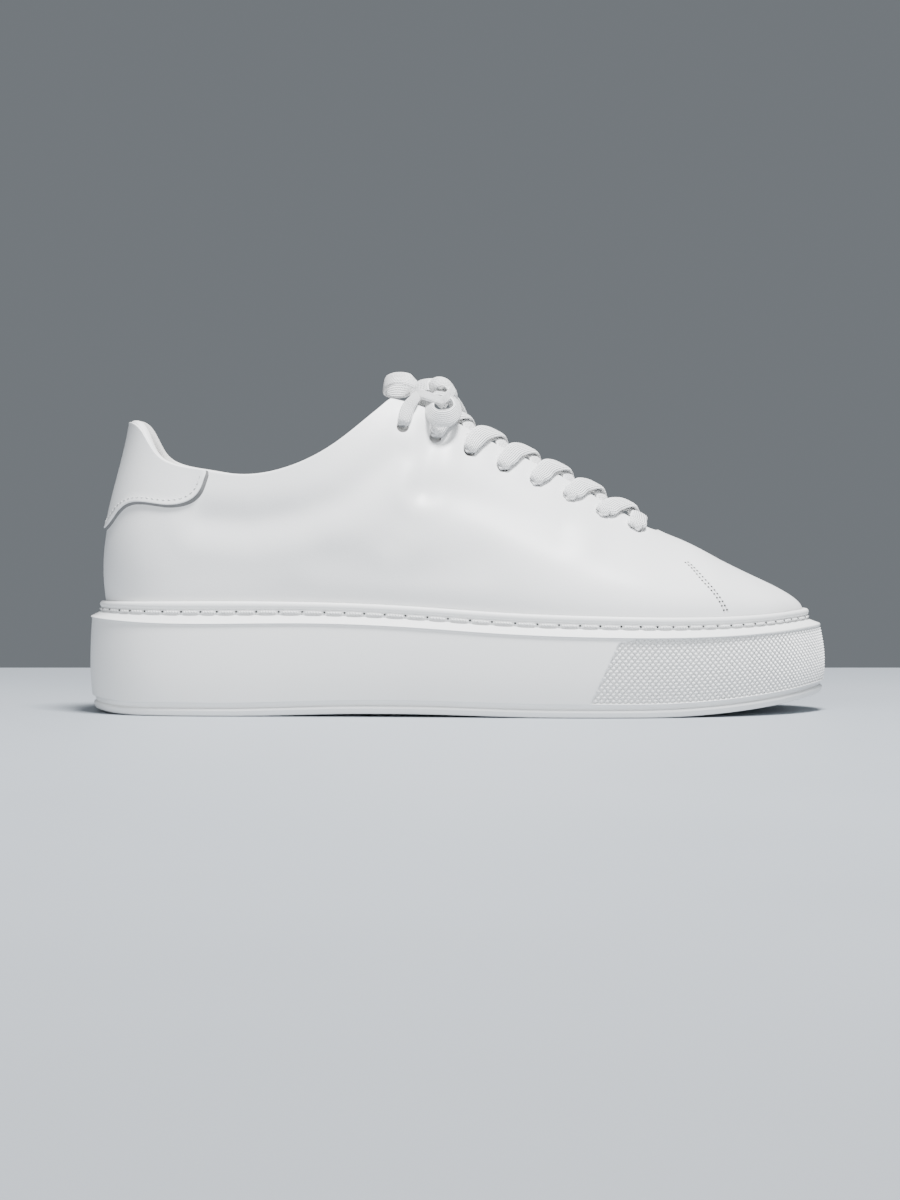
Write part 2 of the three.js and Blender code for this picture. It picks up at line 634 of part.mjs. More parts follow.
// One lace from an eyelet over its edge of the throat towards the far edge
function laceRun(row, side, reach) {
  const eyelet = eyeletAt(row, side);
  const { x } = last(side, eyelet.share, eyelet.t);
  const near = laceStop(side, x + reach * 0.25, throatHalf(x) - 0.4, GAP + 1 + LACE_THICK / 2);
  const far = laceStop(-side, x + reach, throatHalf(x) - 0.4);
  const end = far.at.clone().add(new THREE.Vector3(0, side * 3.6, -0.2));
  const ridge = near.at.clone().lerp(end, 0.5).addScaledVector(RIDGE_UP, LACE_RISE);
  return [
    laceStop(side, x + 0.3, throatHalf(x) + EYELET_SETBACK - 0.4),
    laceStop(side, x + reach * 0.12, throatHalf(x) + EYELET_SETBACK * 0.45),
    near,
    { at: ridge, off: RIDGE_UP },
    { at: end, off: RIDGE_UP },
  ];
}

const gather = (u) => mix(LACE_WIDTH * 0.72, LACE_WIDTH, smooth(0, 0.3, u));

// The two laces of a row, joined where they cross
function laceCrossing(row) {
  const reach = row === 1 ? SHORT_REACH : LACE_REACH;
  const runs = [LATERAL, MEDIAL].map((side) => laceSolid(laceRun(row, side, reach), gather));
  return toGeometry(runs[0].add(runs[1]));
}

// The straight bar across the lowest pair
function laceBar() {
  const half = throatHalf(EYELET_FIRST);
  const place = [half + EYELET_SETBACK - 0.4, half + EYELET_SETBACK * 0.45, half - 0.4];
  const lift = GAP + 0.5 + LACE_THICK / 2;
  const [a, b] = [LATERAL, MEDIAL].map((side) => (
    place.map((away) => laceStop(side, EYELET_FIRST + 0.8, away, lift))));
  const ridge = a[2].at.clone().lerp(b[2].at, 0.5).addScaledVector(RIDGE_UP, 0.8);
  const both = (u) => gather(Math.min(u, 1 - u) * 1.6);
  return toGeometry(laceSolid([...a, { at: ridge, off: RIDGE_UP }, ...b.reverse()], both));
}

// The two laces from the top pair up to the knot
function laceTie() {
  const runs = [LATERAL, MEDIAL].map((side) => {
    const eyelet = eyeletAt(EYELET_ROWS - 1, side);
    const { x } = last(side, eyelet.share, eyelet.t);
    return laceSolid([
      laceStop(side, x + 0.3, throatHalf(x) + EYELET_SETBACK - 0.4),
      laceStop(side, x + 1.2, throatHalf(x) + EYELET_SETBACK * 0.45),
      laceStop(side, x + 2.6, throatHalf(x) - 0.4, GAP + 0.5 + LACE_THICK / 2),
      { at: new THREE.Vector3(KNOT.x - 4, 0, KNOT.z - 4), off: RIDGE_UP },
      { at: new THREE.Vector3(KNOT.x - 3.4, -side * 4, KNOT.z - 4.3), off: RIDGE_UP },
    ], gather);
  });
  return toGeometry(runs[0].add(runs[1]));
}

// The bow: bunched lace as round cords
function bowCord(stops) {
  const ring = Array.from({ length: 8 }, (_, k) => (
    new THREE.Vector2(BOW_RADIUS, 0).rotateAround(new THREE.Vector2(), k * Math.PI / 4)));
  const points = stops.map(([x, y, z]) => new THREE.Vector3(x, y, z));
  const path = new THREE.CatmullRomCurve3(points, false, 'centripetal');
  const options = { steps: 14, bevelEnabled: false, extrudePath: path };
  return new THREE.ExtrudeGeometry(new THREE.Shape(ring), options);
}

const part = new THREE.Group();
function add(name, geometry, color, roughness) {
  const mesh = new THREE.Mesh(geometry, new THREE.MeshStandardMaterial({ color, roughness }));
  mesh.name = name;
  part.add(mesh);
}
add('outsole', outsoleGeometry(), 0xe9e9e6, 0.6);
add('midsole', midsoleGeometry(), 0xf1f1ef, 0.55);
add('insole', insoleGeometry(), 0xf1f1ef, 0.8);
add('upper', upperGeometry(), 0xf6f6f5, 0.5);
add('heel_tab', heelTabGeometry(), 0xf6f6f5, 0.5);
add('tongue', tongueGeometry(), 0xf3f3f1, 0.6);
add('lace_bar_1', laceBar(), 0xfafafa, 0.85);
for (let row = 1; row < EYELET_ROWS - 1; row++) {
  add(`lace_crossing_${row + 1}`, laceCrossing(row), 0xfafafa, 0.85);
}
add('lace_tie', laceTie(), 0xfafafa, 0.85);
for (const name of Object.keys(BOW)) add(name, bowCord(BOW[name]), 0xfafafa, 0.85);
export default part;
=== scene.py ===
"""Looks of a white platform sneaker for the right foot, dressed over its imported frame.

Shapes are worked out in millimetres, +X to the toe, +Y to the medial side, +Z up from the floor.
"""
import math

import bmesh
import bpy
import numpy as np
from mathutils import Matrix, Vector


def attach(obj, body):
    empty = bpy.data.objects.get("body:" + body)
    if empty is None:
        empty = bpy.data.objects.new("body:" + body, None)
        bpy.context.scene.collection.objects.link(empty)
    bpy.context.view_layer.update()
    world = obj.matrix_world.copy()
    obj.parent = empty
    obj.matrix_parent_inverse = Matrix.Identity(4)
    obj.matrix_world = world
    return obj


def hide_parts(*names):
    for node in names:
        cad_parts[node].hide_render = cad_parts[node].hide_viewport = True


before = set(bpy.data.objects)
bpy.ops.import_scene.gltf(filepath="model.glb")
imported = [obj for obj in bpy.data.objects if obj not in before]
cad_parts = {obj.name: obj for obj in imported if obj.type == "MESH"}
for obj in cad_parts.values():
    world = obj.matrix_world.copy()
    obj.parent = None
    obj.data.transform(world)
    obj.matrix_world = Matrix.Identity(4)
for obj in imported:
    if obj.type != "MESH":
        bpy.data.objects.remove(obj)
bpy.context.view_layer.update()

# Camera
# It stands level with the instep, square to the outer side, a step and a half away, and its
# horizon lies above the middle of the picture.
CAMERA_AT = (-3.7, -1393.0, 85.0)
CAMERA_DIP = 1.64
CAMERA_LENS = 102.8
SENSOR = 36.0
MM = 0.001

camera = bpy.data.objects.new("camera", bpy.data.cameras.new("camera"))
bpy.context.scene.collection.objects.link(camera)
camera.location = [value * MM for value in CAMERA_AT]
camera.rotation_euler = (math.radians(90 - CAMERA_DIP), 0, 0)
camera.data.lens = CAMERA_LENS
camera.data.sensor_width = SENSOR
camera.data.clip_start = 0.05
camera.data.clip_end = 60
bpy.context.scene.camera = camera

# Outsole
# A thin plate of white rubber under the whole platform, with a rounded lower edge and a fine
# tread. It lies flat under heel and ball and lifts a little at the arch and the toe.
LATERAL, MEDIAL = -1, 1
SOLE_HALF = 150.0
TREAD = 3.3
GAP = 0.3
TOE_SPRING = 7.4
TOE_BREAK = 70.0
ARCH_LIFT = 1.2
SIPE_PITCH, SIPE_SWAY = 5.2, 11.0

# x, then how far the sole reaches to the lateral and to the medial side there
OUTLINE = np.array([
    (-150, 0, 0), (-143, 21.5, 21.5), (-130, 33.2, 32.8), (-108, 39.2, 38.4), (-70, 41.0, 37.0),
    (-30, 43.8, 36.8), (10, 48.9, 42.0), (50, 52.9, 50.4), (78, 51.4, 53.0), (98, 46.2, 51.2),
    (113, 39.8, 47.8), (125, 32.2, 43.0), (135, 23.2, 37.0), (143, 12.0, 28.6), (148, 2.4, 19.2),
    (150, -8.2, 8.2),
])

# x, then the heights of the rim of the side wall, of the bead and of the bed inside the cup
HEIGHTS = np.array([
    (-150, 37.9, 45.0, 30), (-125, 36.4, 45.4, 30), (-65, 36.3, 45.4, 29.2), (-24, 35.1, 44.0, 26.8),
    (16, 32.5, 41.4, 23.8), (57, 31.1, 40.0, 22), (98, 31.0, 39.4, 22.4), (125, 32.2, 40.0, 25),
    (150, 34.3, 41.6, 29),
])


def spline(x, y):
    """A smooth curve through the points (x, y): cubics whose bend is nothing at both ends."""
    step = np.diff(x)
    slope = np.diff(y) / step
    system = np.eye(len(x))
    turn = np.zeros(len(x))
    for i in range(1, len(x) - 1):
        system[i, i - 1:i + 2] = step[i - 1], 2 * (step[i - 1] + step[i]), step[i]
        turn[i] = 6 * (slope[i] - slope[i - 1])
    bend = np.linalg.solve(system, turn)

    def at(q):
        q = np.clip(q, x[0], x[-1])
        i = np.clip(np.searchsorted(x, q) - 1, 0, len(step) - 1)
        a = (x[i + 1] - q) / step[i]
        b = 1 - a
        curve = ((a ** 3 - a) * bend[i] + (b ** 3 - b) * bend[i + 1]) * step[i] ** 2 / 6
        return a * y[i] + b * y[i + 1] + curve

    return at


def smooth(low, high, q):
    """0 below low, 1 above high, and 3t^2 - 2t^3 between them."""
    t = np.clip((q - low) / (high - low), 0, 1)
    return t * t * (3 - 2 * t)


def mix(a, b, share):
    return a + (b - a) * share


def unit(v):
    return v / np.maximum(np.linalg.norm(v, axis=-1, keepdims=True), 1e-12)


rim_height, bead_height, bed_height = [spline(HEIGHTS[:, 0], HEIGHTS[:, k]) for k in (1, 2, 3)]

lateral_points = np.stack([OUTLINE[:, 0], -OUTLINE[:, 1]], 1)
medial_points = np.stack([OUTLINE[1:-1, 0], OUTLINE[1:-1, 2]], 1)[::-1]
outline_loop = np.concatenate([lateral_points, medial_points])
WRAP = 5
wrapped = np.concatenate([outline_loop[-WRAP:], outline_loop, outline_loop[:WRAP + 1]])
run = np.concatenate([[0], np.cumsum(np.linalg.norm(np.diff(wrapped, axis=0), axis=1))])
loop_x, loop_y = spline(run, wrapped[:, 0]), spline(run, wrapped[:, 1])
HEEL_RUN, TOE_RUN = run[WRAP], run[WRAP + len(OUTLINE) - 1]
ROUND_RUN = run[WRAP + len(outline_loop)]


def edge_at(s, inset=0.0):
    """The outline at run s round the sole, from the heel by the lateral side, moved inwards by
    inset along its normal. Returns x, y and the outward normal."""
    dx, dy = loop_x(s + 0.5) - loop_x(s - 0.5), loop_y(s + 0.5) - loop_y(s - 0.5)
    size = np.hypot(dx, dy)
    nx, ny = dy / size, -dx / size
    return loop_x(s) - nx * inset, loop_y(s) - ny * inset, nx, ny


def underside(x):
    """Height of the tread: level, with a bump for the arch and parabolas at both ends."""
    toe = np.maximum(0, (x - TOE_BREAK) / (SOLE_HALF - TOE_BREAK))
    heel = np.maximum(0, (-128 - x) / (SOLE_HALF - 128))
    arch = smooth(-95, -35, x) * (1 - smooth(-25, 42, x))
    return TOE_SPRING * toe ** 2 + 1.5 * heel ** 2 + ARCH_LIFT * arch


def grid_faces(rows, columns, close_rows=False, close_columns=False):
    """Quads of a grid of rows by columns points, closed round either way if asked."""
    r = np.arange(rows if close_rows else rows - 1)
    c = np.arange(columns if close_columns else columns - 1)
    r, c = np.meshgrid(r, c, indexing="ij")
    r2, c2 = (r + 1) % rows, (c + 1) % columns
    quads = np.stack([r * columns + c, r * columns + c2, r2 * columns + c2, r2 * columns + c], -1)
    return quads.reshape(-1, 4)


def build(name, points, faces, finish, uv=None, weld=0.0, smooth_angle=None):
    """A mesh object in metres from points in millimetres."""
    mesh = bpy.data.meshes.new(name)
    mesh.from_pydata((points.reshape(-1, 3) * MM).tolist(), [], [list(f) for f in faces])
    if uv is not None:
        layer = mesh.uv_layers.new(name="lay")
        loops = np.empty(len(mesh.loops), dtype=np.int32)
        mesh.loops.foreach_get("vertex_index", loops)
        layer.data.foreach_set("uv", uv.reshape(-1, 2)[loops].ravel())
    if weld:
        soup = bmesh.new()
        soup.from_mesh(mesh)
        bmesh.ops.remove_doubles(soup, verts=soup.verts, dist=weld * MM)
        bmesh.ops.recalc_face_normals(soup, faces=soup.faces)
        soup.to_mesh(mesh)
        soup.free()
    mesh.shade_smooth()
    piece = bpy.data.objects.new(name, mesh)
    bpy.context.scene.collection.objects.link(piece)
    if smooth_angle is not None:
        mesh.set_sharp_from_angle(angle=math.radians(smooth_angle))
    if finish is not None:
        mesh.materials.append(finish)
    return piece


class Wire:
    """A shader socket that takes part in sums; each operator adds its Math node."""

    def __init__(self, finish, socket):
        self.finish, self.socket = finish, socket

    def math(self, operation, *values):
        return self.finish.node("ShaderNodeMath", dict(enumerate(values)), operation=operation)

    def __add__(self, other):
        return self.math("ADD", self, other)

    def __sub__(self, other):
        return self.math("SUBTRACT", self, other)

    def __mul__(self, other):
        return self.math("MULTIPLY", self, other)

    def __pow__(self, other):
        return self.math("POWER", self, other)

    __radd__, __rmul__ = __add__, __mul__

    def wave(self):
        """The cosine of this value taken as turns, from -1 to 1."""
        return self.math("COSINE", self * (2 * math.pi))

    def above(self, other):
        return self.math("GREATER_THAN", self, other)

    def lowest(self, other):
        return self.math("MINIMUM", self, other)


class Finish:
    """A material and the one method that adds its nodes."""

    def __init__(self, name):
        self.material = bpy.data.materials.new(name)
        self.material.use_nodes = True
        self.nodes, self.links = self.material.node_tree.nodes, self.material.node_tree.links
        self.nodes.clear()
        self.place = self.node("ShaderNodeTexCoord", {}, out="Object")

    def node(self, kind, sockets, out=0, **settings):
        made = self.nodes.new(kind)
        for key, value in settings.items():
            setattr(made, key, value)
        for key, value in sockets.items():
            if isinstance(value, Wire):
                self.links.new(value.socket, made.inputs[key])
            else:
                made.inputs[key].default_value = value
        return Wire(self, made.outputs[out])

    def axes(self, vector):
        """The three parts of a vector, each as a value."""
        split = self.node("ShaderNodeSeparateXYZ", {"Vector": vector}).socket.node
        return [Wire(self, split.outputs[axis]) for axis in "XYZ"]

    def noise(self, per_metre, detail=3.0, where=None):
        where = where or self.place
        sockets = {"Vector": where, "Scale": per_metre, "Detail": detail}
        return self.node("ShaderNodeTexNoise", sockets, out="Fac")

    def tint(self, share, dark, light):
        return self.node("ShaderNodeMix", {0: share, 6: (*dark, 1), 7: (*light, 1)}, out=2,
                         data_type="RGBA")

    def bump(self, height, depth_mm, strength=1.0, under=None):
        sockets = {"Height": height, "Distance": depth_mm * MM, "Strength": strength}
        if under is not None:
            sockets["Normal"] = under
        return self.node("ShaderNodeBump", sockets)

    def shade(self, sockets):
        shader = self.node("ShaderNodeBsdfPrincipled", sockets, out="BSDF")
        output = self.nodes.new("ShaderNodeOutputMaterial")
        self.links.new(shader.socket, output.inputs["Surface"])
        return self.material


def sole_rubber(name, white=(0.83, 0.83, 0.82), roughness=0.5):
    """Moulded rubber: an even white with a faint mottle and a skin as fine as eggshell."""
    finish = Finish(name)
    cloud = finish.noise(45, 4)
    skin = finish.noise(2600, 2)
    dark = tuple(value * 0.965 for value in white)
    return finish.shade({
        "Base Color": finish.tint(cloud, dark, white),
        "Roughness": cloud * 0.12 + (roughness - 0.06),
        "Normal": finish.bump(skin, 0.05, 0.5),
    })


def tread_rubber(name):
    """The tread: wavy sipes a few millimetres apart, cut only into what faces the floor."""
    finish = Finish(name)
    along, across, _ = finish.axes(finish.place)
    sway = (across * (1 / (SIPE_SWAY * MM))).wave() * 0.32
    ridge = (along * (1 / (SIPE_PITCH * MM)) + sway).wave()
    facing = finish.axes(finish.node("ShaderNodeNewGeometry", {}, out="Normal"))[2]
    below = (facing * -1).above(0.9)
    return finish.shade({
        "Base Color": finish.tint(finish.noise(45, 4), (0.8, 0.8, 0.79), (0.83, 0.83, 0.82)),
        "Roughness": finish.noise(60) * 0.1 + 0.5,
        "Normal": finish.bump((ridge + 0.4).lowest(0.6) * below, 0.5, 0.8),
    })


OUTSOLE_STEPS = 420
run_all = HEEL_RUN + (ROUND_RUN - HEEL_RUN) * np.arange(OUTSOLE_STEPS) / OUTSOLE_STEPS


def outsole_points():
    """Rings up the plate's edge: level underneath, a quarter round, a low barrel, a shoulder."""
    turn = np.linspace(0, math.pi / 2, 6)
    rows = [(1.95 + 1.5 * (1 - math.sin(a)), 1.3 * (1 - math.cos(a))) for a in turn]
    rows += [(1.62, 1.9), (1.55, 2.5), (1.75, 3.0), (2.15, 3.28), (3.2, 3.3)]
    rings = []
    for inset, up in rows:
        x, y, _, _ = edge_at(run_all, inset)
        rings.append(np.stack([x, y, underside(loop_x(run_all)) + up], 1))
    return np.array(rings)


def ladder(start, count):
    """Quads straight across a closed ring of count points, between its two sides."""
    i = np.arange(count // 2)
    return np.stack([start + (count - i) % count, start + i, start + i + 1,
                     start + (count - i - 1) % count], 1)


outsole_rings = outsole_points()
outsole_faces = np.concatenate([
    grid_faces(len(outsole_rings), OUTSOLE_STEPS, close_columns=True),
    ladder(0, OUTSOLE_STEPS)[:, ::-1],
    ladder((len(outsole_rings) - 1) * OUTSOLE_STEPS, OUTSOLE_STEPS),
])
outsole = build("outsole_plate", outsole_rings, outsole_faces, tread_rubber("tread rubber"),
                weld=0.001, smooth_angle=50)
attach(outsole, "root")
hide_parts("outsole")

# Midsole
# The platform: one moulded rubber cup with a groove over the tread, a barrelled wall, a crisp rim,
# a chamfer, and a bead that is stitched to the upper. A diamond pattern wraps the toe.
GROOVE_TOP = 5.6
RIM_RISE = 1.2
LIP = 2.2
DIAMOND_LONG = 2.4
DIAMOND_ROWS = 10
DIAMOND_DEEP = 1.3
DIAMOND_CUTS = 6
DIAMOND_PEAK = 1.5              # how round each diamond stands up
KNURL_FOOT_X = 51.5             # where the pattern starts at the groove
KNURL_LEAN = 0.47               # how far the start leans to the toe for each millimetre up
KNURL_REACH = 176               # from the toe tip, round the outline
WALL_STEP = 2.4
STITCH_PITCH = 8.0              # of the stitches round the heel and the toe
WALL_BARREL, BARREL_AT = 1.15, 0.43
STITCH_GAP, STITCH_LONG, STITCH_LEAST = 0.055, 8.4, 4
STITCH_RADIUS, STITCH_RISE = 0.44, 0.2
PLY_PITCH = 1.1


def foot_inset(x):
    """How far inside the outline the upper stands."""
    return 6.7 + 3 * smooth(60, 150, x)


def toe_lean(x):
    return 1.4 * smooth(60, 150, x)


def triangle(q):
    """0 at whole numbers and 1 half-way between them."""
    return 1 - np.abs(2 * (q - np.floor(q)) - 1)


def midsole_points():
    """The wall's rings, at equal diamonds round the toe and wider apart behind it."""
    step = DIAMOND_LONG / DIAMOND_CUTS
    half = int(KNURL_REACH / step)
    near = TOE_RUN + np.arange(-half, half + 1) * step
    rest = ROUND_RUN - HEEL_RUN - 2 * half * step
    far = near[-1] + np.arange(1, int(rest / WALL_STEP)) * rest / int(rest / WALL_STEP)
    s = np.concatenate([near, far])
    s = np.where(s > ROUND_RUN, s - ROUND_RUN + HEEL_RUN, s)
    x0 = loop_x(s)
    base, rim, bead = underside(x0), rim_height(x0), bead_height(x0)
    lean, foot = toe_lean(x0), foot_inset(x0)
    lip = foot - GAP - LIP
    low = base + GROOVE_TOP
    wall_rows = DIAMOND_ROWS * DIAMOND_CUTS
    edge = rim + RIM_RISE
    rows = [(2.6, base + TREAD + 0.02), (2.45, base + TREAD + 0.6), (2.15, low - 0.9),
            (1.75, low - 0.4), (1.4, low - 0.1)]
    along = (s - TOE_RUN) / DIAMOND_LONG
    for k in range(wall_rows + 1):
        v = k / wall_rows
        barrel = WALL_BARREL * (2 * (v - BARREL_AT)) ** 2 * (0.9 if v < BARREL_AT else 0.52)
        inset = barrel + 0.2 + lean * v ** 2
        z = mix(low, edge - 0.8, v)
        start = KNURL_FOOT_X + KNURL_LEAN * (z - low) + 7 * smooth(0.9, 1.0, v) ** 2
        mask = smooth(-0.3, 0.3, x0 - start) * smooth(0.0, 0.02, v) * (1 - smooth(0.985, 1.0, v))
        p, q = along + v * DIAMOND_ROWS, along - v * DIAMOND_ROWS
        peak = 1 - (1 - np.minimum(triangle(p), triangle(q))) ** DIAMOND_PEAK
        rows.append((inset + DIAMOND_DEEP * mask * (1 - peak), z))
    crisp = 1 - smooth(90, 150, x0)
    top = 0.98 + lean
    rows += [(top + 0.1 * crisp, edge - 0.72), (top - 0.42 * crisp, edge - 0.68),
             (top - 0.55 * crisp, edge - 0.4), (top - 0.4 * crisp + 0.1, edge - 0.08),
             (top + 0.55, edge + 0.2)]
    for share in (0.2, 0.6, 1.0):
        rows.append((mix(top + 0.55, lip - 0.1, share), mix(edge + 0.2, mix(rim, bead, 0.4), share)))
    rows += [(lip + 0.3, mix(rim, bead, 0.44)), (lip + 0.5, mix(rim, bead, 0.5)),
             (lip + 0.45, mix(rim, bead, 0.58)), (lip + 0.2, mix(rim, bead, 0.63))]
    for turn in np.linspace(-1.0, 1.5, 10):
        rise = 0.18 * (bead - rim) * math.sin(turn)
        rows.append((lip + 1.2 - 1.3 * math.cos(turn), mix(rim, bead, 0.82) + rise))
    rows += [(foot - GAP - 0.2, bead - 0.15), (foot - GAP, bead - 0.7), (foot - GAP, bed_height(x0) + 5)]
    rings = []
    for inset, z in rows:
        x, y, _, _ = edge_at(s, inset)
        rings.append(np.stack([x, y, np.broadcast_to(z, x.shape)], 1))
    return np.array(rings)


midsole_rings = midsole_points()
midsole_count = midsole_rings.shape[1]
midsole_faces = grid_faces(len(midsole_rings), midsole_count, close_columns=True)
midsole_rubber = sole_rubber("platform rubber")
midsole = build("midsole_cup", midsole_rings, midsole_faces, midsole_rubber, smooth_angle=38)
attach(midsole, "root")

STITCH_X = np.array([
    -139, -134, -127, -119, -111, -103, -96.4, -88.6, -80.6, -71.7, -62.4, -53.7, -45.8, -38.1,
    -30, -21.8, -13.2, -5.1, 3.6, 12.2, 21.4, 30.2, 38.8, 47.2, 55.3, 63.8, 71.8, 78.7, 85.4, 91.9,
    98.2, 104.4, 110.5, 116.1, 121.6, 126.8, 131.6, 136, 139.9, 143.2,
])


def threads(starts, ends, out, radius, rise, sides=8, steps=9):
    """One tube a stitch: along the straight line from start to end, lifted by rise times the
    sine of the way, and rounded off at both ends. Returns points and faces."""
    u = np.linspace(0, 1, steps)
    along = unit(ends - starts)
    side = unit(np.cross(along, out))
    lift = np.cross(side, along)
    round_off = np.sqrt(np.maximum(0.02, 1 - np.abs(2 * u - 1) ** 6))
    middle = mix(starts[:, None], ends[:, None], u[None, :, None])
    middle = middle + lift[:, None] * (rise * np.sin(math.pi * u))[None, :, None]
    turn = np.arange(sides) * 2 * math.pi / sides
    ring = side[:, None, None] * np.cos(turn)[None, None, :, None]
    ring = ring + lift[:, None, None] * np.sin(turn)[None, None, :, None]
    points = middle[:, :, None] + ring * (radius * round_off)[None, :, None, None]
    one = [list(q) for q in grid_faces(steps, sides, close_columns=True)]
    one += [list(range(sides)), list(range(steps * sides - 1, (steps - 1) * sides - 1, -1))]
    faces = [[v + k * steps * sides for v in f] for k in range(len(starts)) for f in one]
    return points.reshape(-1, 3), faces


def rim_stitches():
    """Start, end and way out of each stitch in the channel between the chamfer and the bead. The
    long spans round the heel and the toe are cut into even stitches."""
    rows = []
    for side in (LATERAL, MEDIAL):
        half = np.linspace(HEEL_RUN if side == LATERAL else ROUND_RUN, TOE_RUN, 2000)
        s = np.interp(STITCH_X, loop_x(half), half)
        rows.append(s)
    s = np.sort(np.concatenate(rows))
    loop = ROUND_RUN - HEEL_RUN
    spans = zip(s, np.append(s[1:], s[0] + loop))
    s = np.concatenate([
        np.linspace(start, end, max(1, round((end - start) / STITCH_PITCH)), endpoint=False)
        for start, end in spans])
    after = np.append(s[1:], s[0] + loop)
    step = after - s
    keep = step > STITCH_LEAST
    gap = STITCH_GAP * np.minimum(step, STITCH_LONG)
    a, b = (s + gap)[keep], (after - gap)[keep]
    out = []
    for run_at in (a, b):
        run_at = np.where(run_at > ROUND_RUN, run_at - ROUND_RUN + HEEL_RUN, run_at)
        x0 = loop_x(run_at)
        x, y, nx, ny = edge_at(run_at, foot_inset(x0) - GAP - LIP + 0.1)
        z = mix(rim_height(x0), bead_height(x0), 0.54)
        out.append((np.stack([x, y, z], 1), np.stack([nx, ny, 0.55 + 0 * nx], 1)))
    return out[0][0], out[1][0], unit(out[0][1] + out[1][1])


def thread_finish(name, white, roughness=0.55):
    """Waxed thread: two plies laid round each other, shown as slanting bands. The colour darkens
    in the grooves between the plies: painted shade.
    """
    finish = Finish(name)
    along, _, height = finish.axes(finish.place)
    ply = ((along + height * 0.7) * (1 / (PLY_PITCH * MM))).wave()
    dark = tuple(value * 0.9 for value in white)
    return finish.shade({
        "Base Color": finish.tint(ply * 0.5 + 0.5, dark, white),
        "Roughness": finish.noise(900) * 0.2 + (roughness - 0.1),
        "Normal": finish.bump(ply, 0.12, 0.8),
    })


stitch_from, stitch_to, stitch_out = rim_stitches()
points, faces = threads(stitch_from, stitch_to, stitch_out, STITCH_RADIUS, STITCH_RISE)
rim_thread = build("rim_stitches", points, faces, thread_finish("rim thread", (0.84, 0.84, 0.83)))
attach(rim_thread, "root")
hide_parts("midsole")

# Insole
# A foam footbed under a thin leather cover, laid loose in the cup and a little dished, so that
# its edge stands up against the wall of the upper.
WALL = 2.0
INSOLE_THICK = 4.0


def insole_points():
    """Rings inwards over the footbed, from its lower edge up and over to a dished middle."""
    rows = [(WALL + 0.8, GAP), (WALL + GAP, GAP + 0.9), (WALL + GAP, GAP + INSOLE_THICK - 0.9),
            (WALL + GAP + 0.25, GAP + INSOLE_THICK - 0.3), (WALL + 1.2, GAP + INSOLE_THICK)]
    rows += [(WALL + 1.2 + 7.8 * v, GAP + INSOLE_THICK - 0.9 * v * v * (3 - 2 * v))
             for v in (0.2, 0.4, 0.6, 0.8, 1.0)]
    s = run_all[::2]
    x0 = loop_x(s)
    rings = []
    for inset, up in rows:
        x, y, _, _ = edge_at(s, foot_inset(x0) + inset)
        rings.append(np.stack([x, y, bed_height(x0) + up], 1))
    return np.array(rings)


def leather(name, white, roughness=0.42, grain=0.05, pore_scale=1400):
    """Coated leather: an even white, a grain of small rounded cells, faint pores and a slow
    unevenness of the sheen."""
    finish = Finish(name)
    cells = finish.node("ShaderNodeTexVoronoi", {"Vector": finish.place, "Scale": pore_scale},
                        out="Distance", feature="SMOOTH_F1")
    cloud = finish.noise(38, 4)
    fine = finish.noise(700, 4)
    dark = tuple(value * 0.955 for value in white)
    return finish.shade({
        "Base Color": finish.tint(cloud * 0.7 + fine * 0.3, dark, white),
        "Roughness": cloud * 0.16 + fine * 0.08 + (roughness - 0.12),
        "Normal": finish.bump(cells * 0.6 + fine * 0.5, grain, 0.7),
    })


lining_leather = leather("lining leather", (0.8, 0.79, 0.77), 0.7, 0.07)
insole_rings = insole_points()
count = insole_rings.shape[1]
insole_faces = np.concatenate([
    grid_faces(len(insole_rings), count, close_columns=True),
    ladder(0, count)[:, ::-1],
    ladder((len(insole_rings) - 1) * count, count),
])
insole = build("footbed", insole_rings, insole_faces, lining_leather, weld=0.001, smooth_angle=50)
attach(insole, "root")
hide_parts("insole")

# Upper
# One skin of white leather with a thin leather lining, stretched over the last and stitched into
# the cup. The collar is padded, the throat is a raw cut edge with eight punched holes a side,
# and soft creases gather where the instep bends.
COLLAR_PAD = 3.2
PAD_DEPTH = 20.0
RIDGE_CLOSES = 0.68
RIDGE_SLOPE = 0.5
RIDGE_DRIFT = 6.0
THROAT_END = 81.0
THROAT_ROUND = 8.0
THROAT_TOE, THROAT_ANKLE = 7.4, 15.0
THROAT_TOP = -26.0
EYELET_ROWS = 8
EYELET_RADIUS = 2.45
EYELET_SETBACK = 6.8
EYELET_FIRST, EYELET_LAST = 71.2, -22.6
PUNCH_HALF = 6.5                 # how far the punch reaches on both sides of the skin
SWELL, SWELL_AT, SWELL_WIDE = 0.22, 1.9, 0.9
UNEVEN = 0.22
DENT_DEPTH, DENT_WIDE = 0.45, 4.2

# share of the way to the toe, then the crown's x, half width and height, its lean, the flare at
# the foot, and how far the rib keeps its direction at the foot and at the crown
RIBS = np.array([
    (0.00, -132.2, 0, 124, 85, 8.5, 33, 26), (0.09, -128.2, 14.2, 123, 84, 8, 32, 26),
    (0.18, -113.4, 23.6, 116, 81, 7, 26, 23), (0.28, -80.0, 27.5, 110, 77, 8, 22, 21),
    (0.37, -48.0, 22.0, 121, 66, 9, 26, 25), (0.45, -18.0, 11.0, 129, 50, 9, 28, 26),
    (0.54, 15.0, 8.0, 112.8, 47, 8, 25, 24), (0.62, 44.0, 5.4, 97.6, 45, 7, 21, 22),
    (0.68, 62.0, 0, 88, 33, 6, 18, 21), (0.73, 76.0, 0, 76.8, 13, 5, 15, 21),
    (0.79, 89.0, 0, 70.1, 1, 5, 12, 22), (0.88, 102.0, 0, 63.7, 0, 5, 8.5, 20),
    (1.00, 108.0, 0, 60.7, 0, 5, 5.5, 18),
])
